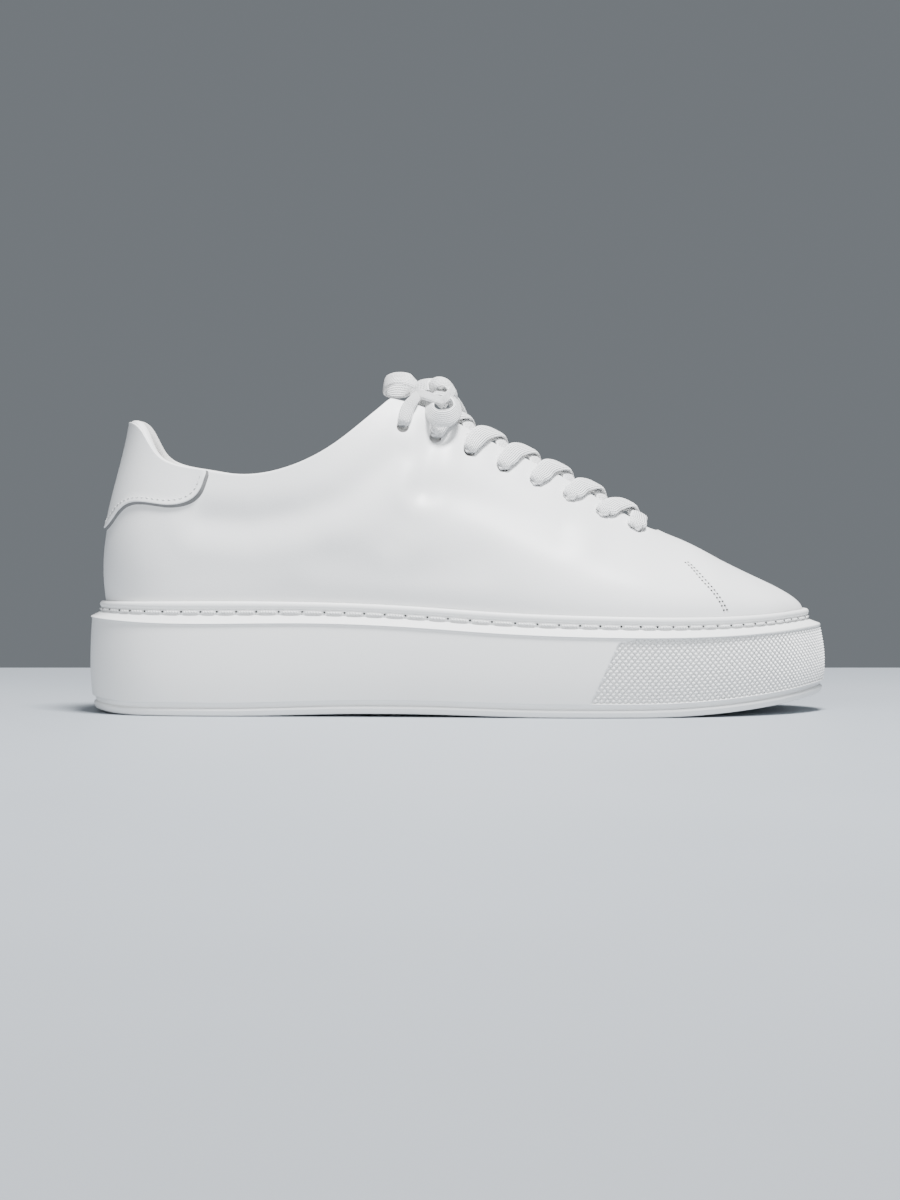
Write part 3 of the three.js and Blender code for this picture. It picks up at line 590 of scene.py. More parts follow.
COLLAR = np.array([
    (-140, 117.5), (-133, 118), (-127.1, 114.6), (-122.4, 106.8), (-115.3, 101.1), (-103.9, 98.6),
    (-87.1, 96.3), (-67.8, 99.5), (-48.6, 109.5), (-35.8, 119.9), (-26, 128.6), (-18, 137),
])
rib_x, rib_half, rib_z, rib_lean, rib_flare, rib_foot, rib_crown = [
    spline(RIBS[:, 0], RIBS[:, k]) for k in range(1, 8)]
collar_height = spline(COLLAR[:, 0], COLLAR[:, 1])


def side_edge(side, share, inset=0.0):
    start = np.where(side == LATERAL, HEEL_RUN, ROUND_RUN)
    return edge_at(mix(start, TOE_RUN, share), inset)


def last(side, share, t):
    """The outside of the upper over the last. Each rib is a cubic from the foot, where it leaves
    at its flare, to the crown, where it arrives at its lean; for t below 0 it stands straight
    down into the cup."""
    side, share, t = np.broadcast_arrays(side, share, t)
    x0 = side_edge(side, share)[0]
    x, y, nx, ny = side_edge(side, share, foot_inset(x0))
    foot = np.stack([x, y, bead_height(x0) - 0.8], -1)
    out = np.stack([nx, ny, 0 * nx], -1)
    half = np.where(share < RIDGE_CLOSES, np.maximum(0, rib_half(share)), 0)
    drift = RIDGE_DRIFT * smooth(0.5, 1, share)
    crown = np.stack([rib_x(share), drift + side * half, rib_z(share)], -1)
    flare, lean = np.radians(rib_flare(share)), np.radians(np.maximum(0, rib_lean(share)))
    rise = out * np.sin(flare)[..., None]
    rise[..., 2] = np.cos(flare)
    fall = out * np.cos(lean)[..., None]
    fall[..., 2] = -np.sin(lean) - np.maximum(0, nx) * RIDGE_SLOPE * np.cos(lean)
    near = foot + rise * rib_foot(share)[..., None]
    far = crown + unit(fall) * rib_crown(share)[..., None]
    up = np.maximum(t, 0)[..., None]
    point = ((1 - up) ** 3 * foot + 3 * (1 - up) ** 2 * up * near
             + 3 * (1 - up) * up ** 2 * far + up ** 3 * crown)
    point[..., 2] += np.minimum(t, 0) * (foot[..., 2] - bed_height(x0) - GAP)
    return point


def outward(side, share, t):
    """The surface's normal, from small steps along and up; shared by both sides where they meet."""
    d = 1e-3

    def one(side):
        along = last(side, np.minimum(1, share + d), t) - last(side, np.maximum(0, share - d), t)
        up = last(side, share, np.minimum(1, t + d)) - last(side, share, t - d)
        return unit(np.cross(along, up) * -np.asarray(side)[..., None])

    side, share, t = np.broadcast_arrays(side, share, t)
    mine, other = one(side), one(-side)
    meets = (share <= 0) | (share >= 1) | ((t >= 1) & (share >= RIDGE_CLOSES))
    return np.where(meets[..., None], unit(mine + other), mine)


def throat_middle(x):
    return RIDGE_DRIFT * smooth(-5, 160, x)


def throat_wide(x):
    straight = THROAT_END - THROAT_ROUND
    share = np.maximum(0, (straight - x) / (straight - THROAT_TOP))
    return mix(THROAT_TOE, THROAT_ANKLE, share)


def throat_half(x):
    into = np.maximum(0, x - THROAT_END + THROAT_ROUND) / THROAT_ROUND
    return throat_wide(x) * np.sqrt(np.maximum(0, 1 - into ** 2))


def rib_step(side, share, inside):
    """How far up each rib inside(point) stays true, by halving."""
    low, high = 0 * share, 0 * share + 1
    for _ in range(26):
        middle = (low + high) / 2
        good = inside(last(side, share, middle))
        low, high = np.where(good, middle, low), np.where(good, high, middle)
    return np.where(inside(last(side, share, 0 * share + 1)), 1, low)


def place_on_last(side, x, inside, low=0.02, high=0.985):
    """Share and t where the line that inside(point) bounds on the last has the given x."""
    x = np.atleast_1d(np.asarray(x, float))
    shares = np.linspace(low, high, 260)[None, :] + 0 * x[:, None]
    t = rib_step(side, shares, inside)
    reach = last(side, shares, t)[..., 0]
    k = np.clip(np.sum(reach < x[:, None], axis=1), 1, shares.shape[1] - 1)
    row = np.arange(len(x))
    part = (x - reach[row, k - 1]) / (reach[row, k] - reach[row, k - 1])
    share = mix(shares[row, k - 1], shares[row, k], part)
    return share, mix(t[row, k - 1], t[row, k], part)


def on_throat(side, x, half):
    """The place beside the throat at x, half away from its middle."""
    half = np.atleast_1d(half)

    def outside(point):
        middle = throat_middle(point[..., 0])
        return side * (point[..., 1] - middle) > half.reshape((-1,) + (1,) * (point.ndim - 2))

    return place_on_last(side, x, outside, 0.3, 0.95)


def on_side(side, x, z):
    """The place on the side of the upper at x and z."""
    z = np.atleast_1d(z)
    return place_on_last(side, x, lambda point: point[..., 2] < z[:, None])


def soft_lowest(a, b, blend):
    """The lower of a and b, rounded over where they meet."""
    near = np.maximum(0, blend - np.abs(a - b)) / blend
    return np.minimum(a, b) - near ** 2 * blend / 4


def from_polyline(x, z, line):
    """Distance in the side view from each point to a bent line."""
    line = np.asarray(line, float)
    nearest = np.full(np.shape(x), np.inf)
    for (ax, az), (bx, bz) in zip(line[:-1], line[1:]):
        dx, dz = bx - ax, bz - az
        part = np.clip(((x - ax) * dx + (z - az) * dz) / (dx * dx + dz * dz), 0, 1)
        nearest = np.minimum(nearest, np.hypot(x - ax - part * dx, z - az - part * dz))
    return nearest


# Each crease: its bends as x and z, its depth and its half width
CREASES = [
    ([(-100.8, 77.9), (-83, 76.7), (-63.2, 79.9), (-47.3, 85.8), (-35.4, 94.6), (-23.5, 103.7)], 1.3, 6.5),
    ([(-10.6, 112.6), (-12.5, 102), (-15.2, 90)], 1.5, 4.6),
    ([(-15.2, 90), (-19.5, 80), (-25.5, 70)], 0.45, 5.5),
    ([(-7.7, 89.8), (8.2, 85.8), (39.9, 73.9)], 1.0, 6.5),
    ([(-52, 62), (-20, 58), (8, 60)], 0.5, 7.5),
    ([(60, 66), (78, 58), (92, 50)], 0.35, 6.0),
]


def relief(point):
    """Millimetres that the skin stands off the last: each crease a trough with a low swell on
    both sides, and slow unevenness where the leather was pulled."""
    x, y, z = point[..., 0], point[..., 1], point[..., 2]
    height = 0 * x
    for line, depth, wide in CREASES:
        d = from_polyline(x, z, line) / wide
        swell = SWELL * np.exp(-((d - SWELL_AT) / SWELL_WIDE) ** 2)
        height = height + depth * (swell - np.exp(-d ** 2))
    side_share = smooth(4, 18, np.abs(y))
    slow = np.sin(x / 19 + 1.3 * np.sin(z / 23)) * np.sin(z / 15 + 0.7 + np.sin(x / 31))
    return (height * side_share + UNEVEN * slow) * smooth(46, 56, z)


def dents(point, holes):
    """The leather sinks a little round every eyelet."""
    away = np.min(np.linalg.norm(point[..., None, :] - holes, axis=-1), axis=-1)
    return -DENT_DEPTH * np.exp(-(away / DENT_WIDE) ** 2)


eyelet_rows = np.linspace(EYELET_FIRST, EYELET_LAST, EYELET_ROWS)
eyelets = {side: on_throat(side, eyelet_rows, throat_half(eyelet_rows) + EYELET_SETBACK)
           for side in (LATERAL, MEDIAL)}
eyelet_points = np.concatenate([last(side, *eyelets[side]) for side in (LATERAL, MEDIAL)])
eyelet_outs = np.concatenate([outward(side, *eyelets[side]) for side in (LATERAL, MEDIAL)])

COLUMNS = 300
CORNER_BLEND = 0.012
OUTER_ROWS = 64
LIP_ROWS = 9
INNER_ROWS = 34


def upper_side(side):
    """A ring of points round the wall at each share of the way to the toe: up the outside, over
    the lip as half an ellipse, down the inside at the wall's thickness."""
    tip = np.interp(THROAT_END, rib_x(np.linspace(0.6, 0.9, 800)), np.linspace(0.6, 0.9, 800))
    even = np.linspace(0, 1, COLUMNS)
    share = mix(even, (1 - np.cos(math.pi * even)) / 2, 0.5)
    share[np.argmin(np.abs(share - tip))] = tip

    def under_collar(p):
        return (p[..., 0] > THROAT_TOP + 10) | (p[..., 2] < collar_height(p[..., 0]))

    def beside_throat(p):
        return side * (p[..., 1] - throat_middle(p[..., 0])) > throat_half(p[..., 0])

    collar = rib_step(side, share, under_collar)
    throat = rib_step(side, share, beside_throat)
    throat = np.where(last(side, share, throat)[:, 0] > -60, throat, 1.0)
    top = np.where(share < tip, soft_lowest(collar, throat, CORNER_BLEND), 1.0)
    edge = last(side, share, top)
    padded = 1 - smooth(0.26, 0.42, share)
    bulge = np.where(share < tip, mix(0.35, 0.8, padded), 0)
    ribs = last(side, share[:, None], np.linspace(0, 1, 30))
    size = np.linalg.norm(np.diff(ribs, axis=1), axis=-1).sum(1)
    top = top - np.where(share < tip, bulge / size, 0)
    low_steps = np.array([-1, -0.6, -0.25, -0.05])
    t = np.concatenate([low_steps[None] + 0 * top[:, None],
                        top[:, None] * np.linspace(0, 1, OUTER_ROWS)[None]], 1)
    columns = share[:, None] + 0 * t
    skin, out = last(side, columns, t), outward(side, columns, t)
    outer = skin + out * (relief(skin) + dents(skin, eyelet_points))[..., None]
    inner_t = np.concatenate([top[:, None] * np.linspace(1, 0, INNER_ROWS)[None],
                              low_steps[::-1][None] + 0 * top[:, None]], 1)
    columns = share[:, None] + 0 * inner_t
    skin, out = last(side, columns, inner_t), outward(side, columns, inner_t)
    depth = collar_height(skin[..., 0]) - skin[..., 2]
    pad = (1 - smooth(0.4 * PAD_DEPTH, PAD_DEPTH, depth)) * (0.3 + 0.7 * smooth(-1, 5, depth))
    thick = WALL + COLLAR_PAD * padded[:, None] * pad
    inner = skin - out * thick[..., None]
    lift = 0.5 * (1 - smooth(0.05, 0.12, share))
    inner[..., 2] += lift[:, None] * (1 - smooth(0, 11, depth))
    up = unit(last(side, share, top) - last(side, share, top - 0.02))
    turn = np.linspace(0, math.pi, LIP_ROWS + 2)[1:-1]
    middle, reach = (outer[:, -1] + inner[:, 0]) / 2, (outer[:, -1] - inner[:, 0]) / 2
    lip = (middle[:, None] + reach[:, None] * np.cos(turn)[None, :, None]
           + up[:, None] * bulge[:, None, None] * np.sin(turn)[None, :, None])
    return np.concatenate([outer, lip, inner], 1), share >= tip - 1e-9


def upper_mesh():
    """Both sides' rings joined; the lip has no faces where the two sides meet on the ridge."""
    points, faces, inside = [], [], []
    for side in (LATERAL, MEDIAL):
        ring, closed = upper_side(side)
        rows = ring.shape[1]
        quads = grid_faces(len(ring), rows, close_columns=True).reshape(len(ring) - 1, rows, 4)
        first_lip = OUTER_ROWS + 4 - 1
        k = np.arange(rows)
        is_lip = (k >= first_lip) & (k <= first_lip + LIP_ROWS)
        shut = closed[:-1, None] & closed[1:, None] & is_lip[None]
        keep = quads[~shut]
        lining = np.broadcast_to(k > first_lip + LIP_ROWS * 0.55, shut.shape)[~shut]
        if side == LATERAL:
            keep = keep[:, ::-1]
        faces.append(keep + sum(len(p) for p in points))
        inside.append(lining)
        points.append(ring.reshape(-1, 3))
    return np.concatenate(points), np.concatenate(faces), np.concatenate(inside)


def punched(piece, points, outs, radius, length, sides=20):
    """The piece with a round hole through it at every point."""
    turn = np.arange(sides) * 2 * math.pi / sides
    across = unit(np.cross(outs, (1.0, 0, 0)))
    along = np.cross(outs, across)
    ring = across[:, None] * np.cos(turn)[None, :, None] + along[:, None] * np.sin(turn)[None, :, None]
    ring = ring * radius
    rims = np.stack([points[:, None] - outs[:, None] * length + ring,
                     points[:, None] + outs[:, None] * length + ring], 1)
    one = [list(q) for q in grid_faces(2, sides, close_columns=True)]
    one += [list(range(sides))[::-1], list(range(sides, 2 * sides))]
    faces = [[v + k * 2 * sides for v in f] for k in range(len(points)) for f in one]
    pins = build("pins", rims, faces, None, weld=0.001)
    cut = piece.modifiers.new("holes", "BOOLEAN")
    cut.object, cut.operation, cut.solver = pins, "DIFFERENCE", "EXACT"
    after = bpy.data.meshes.new_from_object(piece.evaluated_get(bpy.context.evaluated_depsgraph_get()))
    piece.modifiers.clear()
    piece.data = after
    bpy.data.objects.remove(pins)


upper_leather = leather("upper leather", (0.845, 0.845, 0.84), 0.43)
points, faces, inside = upper_mesh()
upper = build("leather_upper", points, faces, upper_leather)
upper.data.materials.append(lining_leather)
upper.data.polygons.foreach_set("material_index", inside.astype(np.int32))
soup = bmesh.new()
soup.from_mesh(upper.data)
bmesh.ops.remove_doubles(soup, verts=soup.verts, dist=0.002 * MM)
bmesh.ops.delete(soup, geom=[v for v in soup.verts if not v.link_faces], context="VERTS")
bmesh.ops.recalc_face_normals(soup, faces=soup.faces)
soup.to_mesh(upper.data)
soup.free()
punched(upper, eyelet_points, eyelet_outs, EYELET_RADIUS, PUNCH_HALF)
upper.data.set_sharp_from_angle(angle=math.radians(40))
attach(upper, "root")
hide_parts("upper")

# The toe seam: two rows of needle holes with short sunk threads, from the side of the toe box
# down to the bead. The needle holes are near-black domes: painted shade of the holes.
SEAM = np.array([
    (89.7, 61.1, 90.9, 61.2), (92.6, 58.7, 93.6, 58.9), (96.5, 54.0, 97.5, 54.6),
    (99.7, 50.4, 100.7, 50.9), (103.4, 45.2, 104.3, 45.9), (105.9, 39.7, 107.2, 40.2),
])
SEAM_PITCH, SEAM_LIFT, SEAM_SHARE = 1.9, 0.02, 0.62
SEAM_RADIUS = 0.2
PIT_RADIUS, PIT_DEEP = 0.5, 0.3


def seam_threads(side, x, z, pitch, lift, share):
    """Starts, ends and normals of stitches of one row: the line through (x, z) on the upper,
    cut at each pitch, each thread taking the given share of it."""
    u = np.linspace(0, 1, 90)
    at = np.linspace(0, 1, len(x))
    where = on_side(side, spline(at, x)(u), spline(at, z)(u))
    skin, out = last(side, *where), outward(side, *where)
    skin = skin + out * (relief(skin) + lift)[:, None]
    return cut_row(skin, out, pitch, share)


def cut_row(skin, out, pitch, share):
    run = np.concatenate([[0], np.cumsum(np.linalg.norm(np.diff(skin, axis=0), axis=1))])
    marks = np.arange(0.5 * pitch, run[-1] - 0.5 * pitch, pitch)
    ends = []
    for s in (marks, marks + pitch * share):
        ends.append(np.stack([np.interp(s, run, skin[:, k]) for k in range(3)], 1))
    normal = unit(np.stack([np.interp(marks, run, out[:, k]) for k in range(3)], 1))
    return ends[0], ends[1], normal


rows = [seam_threads(side, SEAM[:, 2 * k], SEAM[:, 2 * k + 1], SEAM_PITCH, SEAM_LIFT, SEAM_SHARE)
        for side in (LATERAL, MEDIAL) for k in (0, 1)]
points, faces = threads(*[np.concatenate(part) for part in zip(*rows)], SEAM_RADIUS, SEAM_LIFT, 6, 5)
leather_thread = thread_finish("leather thread", (0.72, 0.72, 0.71))
toe_seam = build("toe_seam", points, faces, leather_thread)
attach(toe_seam, "root")


def holes(at, out, radius, deep):
    """Pits as low domes sunk in the surface, coloured as painted shade of needle holes."""
    return threads(at - out * deep, at + out * 0.2, unit(np.cross(out, (0.3, 1, 0.2))), radius, 0, 8, 4)


# The pits' near-black colour is painted shade, standing for the shade inside each needle hole.
pit = Finish("needle hole")
needle_hole_shade = pit.shade({
    "Base Color": pit.tint(pit.noise(800), (0.02, 0.02, 0.02), (0.05, 0.05, 0.05)),
    "Roughness": pit.noise(500) * 0.1 + 0.8,
})
toe_rows = [np.concatenate(part) for part in zip(*rows)]
toe_pits = build("toe_needle_holes", *holes(toe_rows[0], toe_rows[2], PIT_RADIUS, PIT_DEEP), needle_hole_shade)
rim_joint = mix(stitch_to, np.roll(stitch_from, -1, axis=0), 0.5) + np.array([0, 0, 0.35])
rim_pits = build("rim_needle_holes", *holes(rim_joint, stitch_out, STITCH_RADIUS, 0.5), needle_hole_shade)
for pits, slot in ((toe_pits, "upper_leather"), (rim_pits, "sole_rubber")):
    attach(pits, "root")

# Heel tab
# A second layer of the same leather round the back of the heel, skived at its edges and sewn on
# with one row of thread just inside its waved lower edge.
TAB_THICK = 0.9
TAB_FRONT = -100.8
TAB_SLANT = 0.9                  # how far the cut edge slants out under the layer
INNER_REACH = 1.012              # how much further to the toe the inside of the layer goes
TAB_SPRING, SPRING_WIDE = 0.45, 2.2
TAB_PITCH, TAB_SHARE = 2.4, 0.66
TAB_THREAD, TAB_RISE = 0.3, 0.14
TAB_EDGE = np.array([
    (-150, 72), (-144.1, 73.7), (-140.6, 75.9), (-136.6, 80.8), (-132.9, 83.9), (-128.9, 84.9),
    (-116.5, 83.7), (-111.1, 84.1), (-107.4, 85.4), (-104.1, 88), (-102.1, 91.5), (-100.2, 98),
])
TAB_ROW = np.array([
    (-150, 73.9), (-144.6, 75.5), (-141.4, 77.6), (-137.6, 82.4), (-133.6, 85.4), (-128.9, 86.6),
    (-117, 85.5), (-111.6, 85.9), (-108.3, 87.0), (-105.7, 89), (-103.9, 92), (-102.2, 98),
])
tab_height = spline(TAB_EDGE[:, 0], TAB_EDGE[:, 1])
row_height = spline(TAB_ROW[:, 0], TAB_ROW[:, 1])
TAB_ROWS = 40


def tab_share(side, front):
    """The share of the way to the toe at which the collar passes front."""
    share = np.linspace(0, 0.4, 600)
    top = rib_step(side, share, lambda p: p[..., 2] < collar_height(p[..., 0]))
    return np.interp(front, last(side, share, top)[:, 0], share)


def tab_points():
    """Rings down the outside and back up the inside of the layer. Its outside stands off the
    upper by the thickness, less a quarter round at both edges."""
    columns = 80
    sides = np.concatenate([np.full(columns, MEDIAL), np.full(columns + 1, LATERAL)])
    fronts = {side: tab_share(side, TAB_FRONT) for side in (LATERAL, MEDIAL)}
    way = np.concatenate([np.linspace(1, 0, columns, endpoint=False), np.linspace(0, 1, columns + 1)])
    share = way * np.where(sides == LATERAL, fronts[LATERAL], fronts[MEDIAL])
    high = rib_step(sides, share, lambda p: p[..., 2] < collar_height(p[..., 0])) - 0.01
    low = np.minimum(high - 0.012, rib_step(sides, share, lambda p: p[..., 2] < tab_height(p[..., 0])))
    size = np.linalg.norm(last(sides, share, high) - last(sides, share, low), axis=1)
    down = np.linspace(1, 0, TAB_ROWS)
    down = 0.5 - 0.5 * np.cos(math.pi * mix(down, (1 - np.cos(math.pi * down)) / 2, 0.2))
    t = low[:, None] + (high - low)[:, None] * down[None]
    from_edge = np.minimum(down, 1 - down)[None] * size[:, None]
    from_front = (1 - np.abs(way))[:, None] * 38
    from_edge = np.minimum(from_edge, from_front)
    quarter = np.sqrt(1 - (1 - np.clip(from_edge / 0.3, 0, 1)) ** 2)
    loose = np.minimum(down[None] * size[:, None], from_front)
    spring = TAB_SPRING * np.exp(-(loose / SPRING_WIDE) ** 2)

    def layer(t, share, height):
        both, columns = sides[:, None] + 0 * t, share[:, None] + 0 * t
        skin, out = last(both, columns, t), outward(both, columns, t)
        return skin + out * (relief(skin) + height)[..., None]

    outer = layer(t, share, 0.08 + spring + 0.45 + (TAB_THICK - 0.45) * quarter)
    deeper = low - TAB_SLANT * (high - low) / size
    inner_t = deeper[:, None] + (high - deeper)[:, None] * down[None]
    inner = layer(inner_t, share * INNER_REACH, 0.05 + 0 * t)
    return np.concatenate([outer, inner[:, ::-1]], 1)


tab = tab_points()
tab_faces = [list(q) for q in grid_faces(tab.shape[0], tab.shape[1], close_columns=True)[:, ::-1]]
rows = tab.shape[1]
tab_faces += [list(range(rows)), list(range(len(tab) * rows - 1, (len(tab) - 1) * rows - 1, -1))]
heel_tab = build("heel_tab_layer", tab, tab_faces, upper_leather, smooth_angle=30)
# The dark grey of the tab's slanted cut edge and end caps is painted shade: the shadow line under the
# layer's lower edge.
tab_edge_shade = Finish("cut edge of the heel tab")
heel_tab.data.materials.append(tab_edge_shade.shade({
    "Base Color": tab_edge_shade.tint(tab_edge_shade.noise(300), (0.12, 0.12, 0.12), (0.2, 0.2, 0.2)),
    "Roughness": tab_edge_shade.noise(300) * 0.1 + 0.7,
}))
slots = np.zeros(len(tab_faces), dtype=np.int32)
slots[TAB_ROWS - 1::rows][:len(tab) - 1] = 1
slots[-2:] = 1
heel_tab.data.polygons.foreach_set("material_index", slots)
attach(heel_tab, "root")
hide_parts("heel_tab")


def tab_row():
    """The stitch line just inside the waved edge, round the back from side to side."""
    halves = []
    for side in (MEDIAL, LATERAL):
        share = np.linspace(0, tab_share(side, -102.6), 160)
        t = rib_step(side, share, lambda p: p[..., 2] < row_height(p[..., 0]))
        skin, out = last(side, share, t), outward(side, share, t)
        skin = skin + out * (relief(skin) + 0.14 + TAB_THICK)[:, None]
        halves.append((skin, out))
    skin = np.concatenate([halves[0][0][:0:-1], halves[1][0]])
    out = np.concatenate([halves[0][1][:0:-1], halves[1][1]])
    return cut_row(skin, out, TAB_PITCH, TAB_SHARE)


tab_stitches = tab_row()
tab_thread = build("tab_stitches", *threads(*tab_stitches, TAB_THREAD, TAB_RISE, 6, 5), leather_thread)
# Near-black pits at the tab's stitches: painted shade of their needle holes.
tab_holes = holes(tab_stitches[0], tab_stitches[2], TAB_THREAD, PIT_DEEP)
tab_pits = build("tab_needle_holes", *tab_holes, needle_hole_shade)
for piece in (tab_thread, tab_pits):
    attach(piece, "root")

# Tongue
# A thin padded tongue of the same leather under the throat, sewn in at the toe end and loose at
# the ankle, arched from one eyestay to the other.
TONGUE_THICK = 2.6
TONGUE_TOP, TONGUE_END = -30.0, 90.0
TONGUE_TUCK = (10.0, 9.0)


def tongue_points(across=40, along=70):
    """Arches over the throat, each a cubic between two points under the eyestays that leaves
    them along the ribs. A second layer lies one thickness lower; its edges are rounded."""
    x = np.linspace(TONGUE_TOP, TONGUE_END, along)
    tuck = np.linspace(*TONGUE_TUCK, along)
    ends = []
    for side in (LATERAL, MEDIAL):
        share, t = on_throat(side, x, throat_wide(x) + tuck)
        at = last(side, share, t) - outward(side, share, t) * (WALL + GAP + 0.25)
        ends.append((at, unit(last(side, share, t + 0.01) - last(side, share, t - 0.01))))
    (a, up_a), (b, up_b) = ends
    reach = 0.34 * np.linalg.norm(b - a, axis=1, keepdims=True)
    u = np.linspace(0, 1, across)[None, :, None]
    p0, p1, p2, p3 = [q[:, None] for q in (a, a + up_a * reach, b + up_b * reach, b)]
    arch = (1 - u) ** 3 * p0 + 3 * (1 - u) ** 2 * u * p1 + 3 * (1 - u) * u * u * p2 + u ** 3 * p3
    tangent = unit(3 * (1 - u) ** 2 * (p1 - p0) + 6 * (1 - u) * u * (p2 - p1) + 3 * u * u * (p3 - p2))
    normal = unit(np.cross(unit(np.array([1, 0, -RIDGE_SLOPE])), tangent))
    normal = np.where(normal[..., 2:] < 0, -normal, normal)
    edge = np.minimum(u, 1 - u)[..., 0] * 44
    end = np.minimum(x - TONGUE_TOP, TONGUE_END - x)[:, None]
    round_off = np.sqrt(1 - (1 - np.clip(np.minimum(edge, end) / 1.3, 0, 1)) ** 2)[..., None]
    deep = TONGUE_THICK / 2
    return np.concatenate([arch - normal * deep * (1 - round_off),
                           (arch - normal * deep * (1 + round_off))[:, ::-1]], 1)


tongue_ring = tongue_points()
rows = tongue_ring.shape[1]
tongue_faces = [list(q) for q in grid_faces(len(tongue_ring), rows, close_columns=True)]
tongue_end = (len(tongue_ring) - 1) * rows
tongue_faces += [list(range(rows))[::-1], list(range(tongue_end, tongue_end + rows))]
tongue = build("leather_tongue", tongue_ring, tongue_faces, upper_leather, weld=0.001, smooth_angle=60)
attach(tongue, "root")
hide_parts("tongue")

# Laces
# One flat white woven lace. It bars the lowest pair of holes, crosses at each pair above, and
# comes up from the top pair to the knot. It gathers where it passes a hole.
LACE_REACH = 13.4
TIE_REACH = 11.0
RIDGE_UP = unit(np.array([RIDGE_SLOPE, 0, 1]))
KNOT = np.array([-12.5, 0, 131.0])


def catmull(stops, steps):
    """A centripetal curve through the stops, with the given steps between each two."""
    stops = np.asarray(stops, float)
    stops = np.vstack([2 * stops[0] - stops[1], stops, 2 * stops[-1] - stops[-2]])
    knots = np.concatenate([[0], np.cumsum(np.linalg.norm(np.diff(stops, axis=0), axis=1) ** 0.5)])
    pieces = []
    for i in range(1, len(stops) - 2):
        u = np.linspace(knots[i], knots[i + 1], steps + 1)[:-1, None]

        def between(a, b, start, end):
            return ((end - u) * a + (u - start) * b) / (end - start)

        k0, k1, k2, k3 = knots[i - 1:i + 3]
        low = between(stops[i - 1], stops[i], k0, k1)
        mid = between(stops[i], stops[i + 1], k1, k2)
        high = between(stops[i + 1], stops[i + 2], k2, k3)
        pieces.append(between(between(low, mid, k0, k2), between(mid, high, k1, k3), k1, k2))
    return np.vstack(pieces + [stops[-2:-1]])


def ribbon(stops, offs, width, thick, steps=8, sides=18):
    """A flat lace along the curve through stops. Its section is a rounded rectangle whose thin
    way follows offs; width and thick are given at each stop. Returns points, faces, uv, path."""
    path = catmull(stops, steps)
    at = np.linspace(0, len(stops) - 1, len(path))
    off = np.stack([np.interp(at, range(len(stops)), np.asarray(offs, float)[:, k]) for k in range(3)], 1)
    ahead = unit(np.gradient(path, axis=0))
    wide = unit(np.cross(ahead, off))
    thin = np.cross(wide, ahead)
    width = np.interp(at, range(len(stops)), np.broadcast_to(width, len(stops)))
    thick = np.interp(at, range(len(stops)), np.broadcast_to(thick, len(stops)))
    a = np.arange(sides) * 2 * math.pi / sides
    flat = np.sign(np.cos(a)) * np.abs(np.cos(a)) ** 0.7
    high = np.sign(np.sin(a)) * np.abs(np.sin(a)) ** 0.8
    points = (path[:, None] + wide[:, None] * (flat[None] * width[:, None] / 2)[..., None]
              + thin[:, None] * (high[None] * thick[:, None] / 2)[..., None])
    run = np.concatenate([[0], np.cumsum(np.linalg.norm(np.diff(path, axis=0), axis=1))])
    uv = np.stack([np.broadcast_to(flat[None] / 2 + 0.5, points.shape[:2]),
                   np.broadcast_to(run[:, None] * 0.1, points.shape[:2])], -1)
    faces = [list(q) for q in grid_faces(len(path), sides, close_columns=True)[:, ::-1]]
    faces += [list(range(sides)), list(range(len(path) * sides - 1, (len(path) - 1) * sides - 1, -1))]
    return points.reshape(-1, 3), faces, uv.reshape(-1, 2), path


def joined(parts):
    """Several ribbons as the points, faces and uv of one mesh."""
    faces, start = [], 0
    for points, own, _, _ in parts:
        faces += [[v + start for v in f] for f in own]
        start += len(points)
    return np.concatenate([p[0] for p in parts]), faces, np.concatenate([p[2] for p in parts])


# LACE_DARK is the colour in the weave's grooves, darker as painted shade; LACE_WHITE is on its ribs.
LACE_DARK, LACE_WHITE = (0.84, 0.84, 0.835), (0.96, 0.96, 0.955)
RIBS_ACROSS, TWILL_PER_CM, TWILL_SLANT = 9, 9, 6


def woven(name):
    """A tubular weave pressed flat: fine ribs along the lace with a herringbone across them. The
    colour follows the bump and darkens in the grooves: painted shade.
    """
    finish = Finish(name)
    uv = finish.node("ShaderNodeUVMap", {}, out="UV", uv_map="lay")
    across, along, _ = finish.axes(uv)
    rib = (across * RIBS_ACROSS).wave()
    slant = ((across - 0.5) * (across - 0.5)) ** 0.5 * TWILL_SLANT
    twill = (along * TWILL_PER_CM + slant).wave()
    weave = rib * 0.65 + twill * 0.35
    fuzz = finish.noise(1500, 3)
    under = finish.bump(fuzz, 0.08, 0.5)
    return finish.shade({
        "Base Color": finish.tint(weave * 0.45 + fuzz * 0.3 + 0.4, LACE_DARK, LACE_WHITE),
        "Roughness": fuzz * 0.15 + 0.78,
        "Normal": finish.bump(weave, 0.3, 1.0, under),
    })


def beside(side, x, half, lift):
    """A stop on the leather beside the throat, lifted off it, with the way out there."""
    share, t = on_throat(side, x, half)
    out = outward(side, share, t)[0]
    return last(side, share, t)[0] + out * lift, out


def from_hole(side, x, reach, rise):
    """Stops from inside an eyelet, over its rim and up to the edge of the throat."""
    edge = throat_half(x)
    half = edge + EYELET_SETBACK + mix(-0.9, 0.9, smooth(-25, 70, x))
    back = mix(0.2, -0.8, smooth(-25, 70, x))
    return [beside(side, x + back, half - 0.8, -3.4), beside(side, x + back, half - 0.1, -0.9),
            beside(side, x + back, half + 0.1, 0.9), beside(side, x + back + reach * 0.05, half - 1.5, 1.5),
            beside(side, x + reach * 0.16, half - 0.55 * EYELET_SETBACK, 1.5),
            beside(side, x + reach * 0.34, edge - 0.3, rise)]


# width and thickness of the lace at the six stops from inside a hole to the throat
HOLE_WIDTH = [3.2, 3.8, 5.6, 7.0, 7.6, 7.4]
HOLE_THICK = [3.0, 3.2, 2.6, 2.3, 2.1, 1.9]


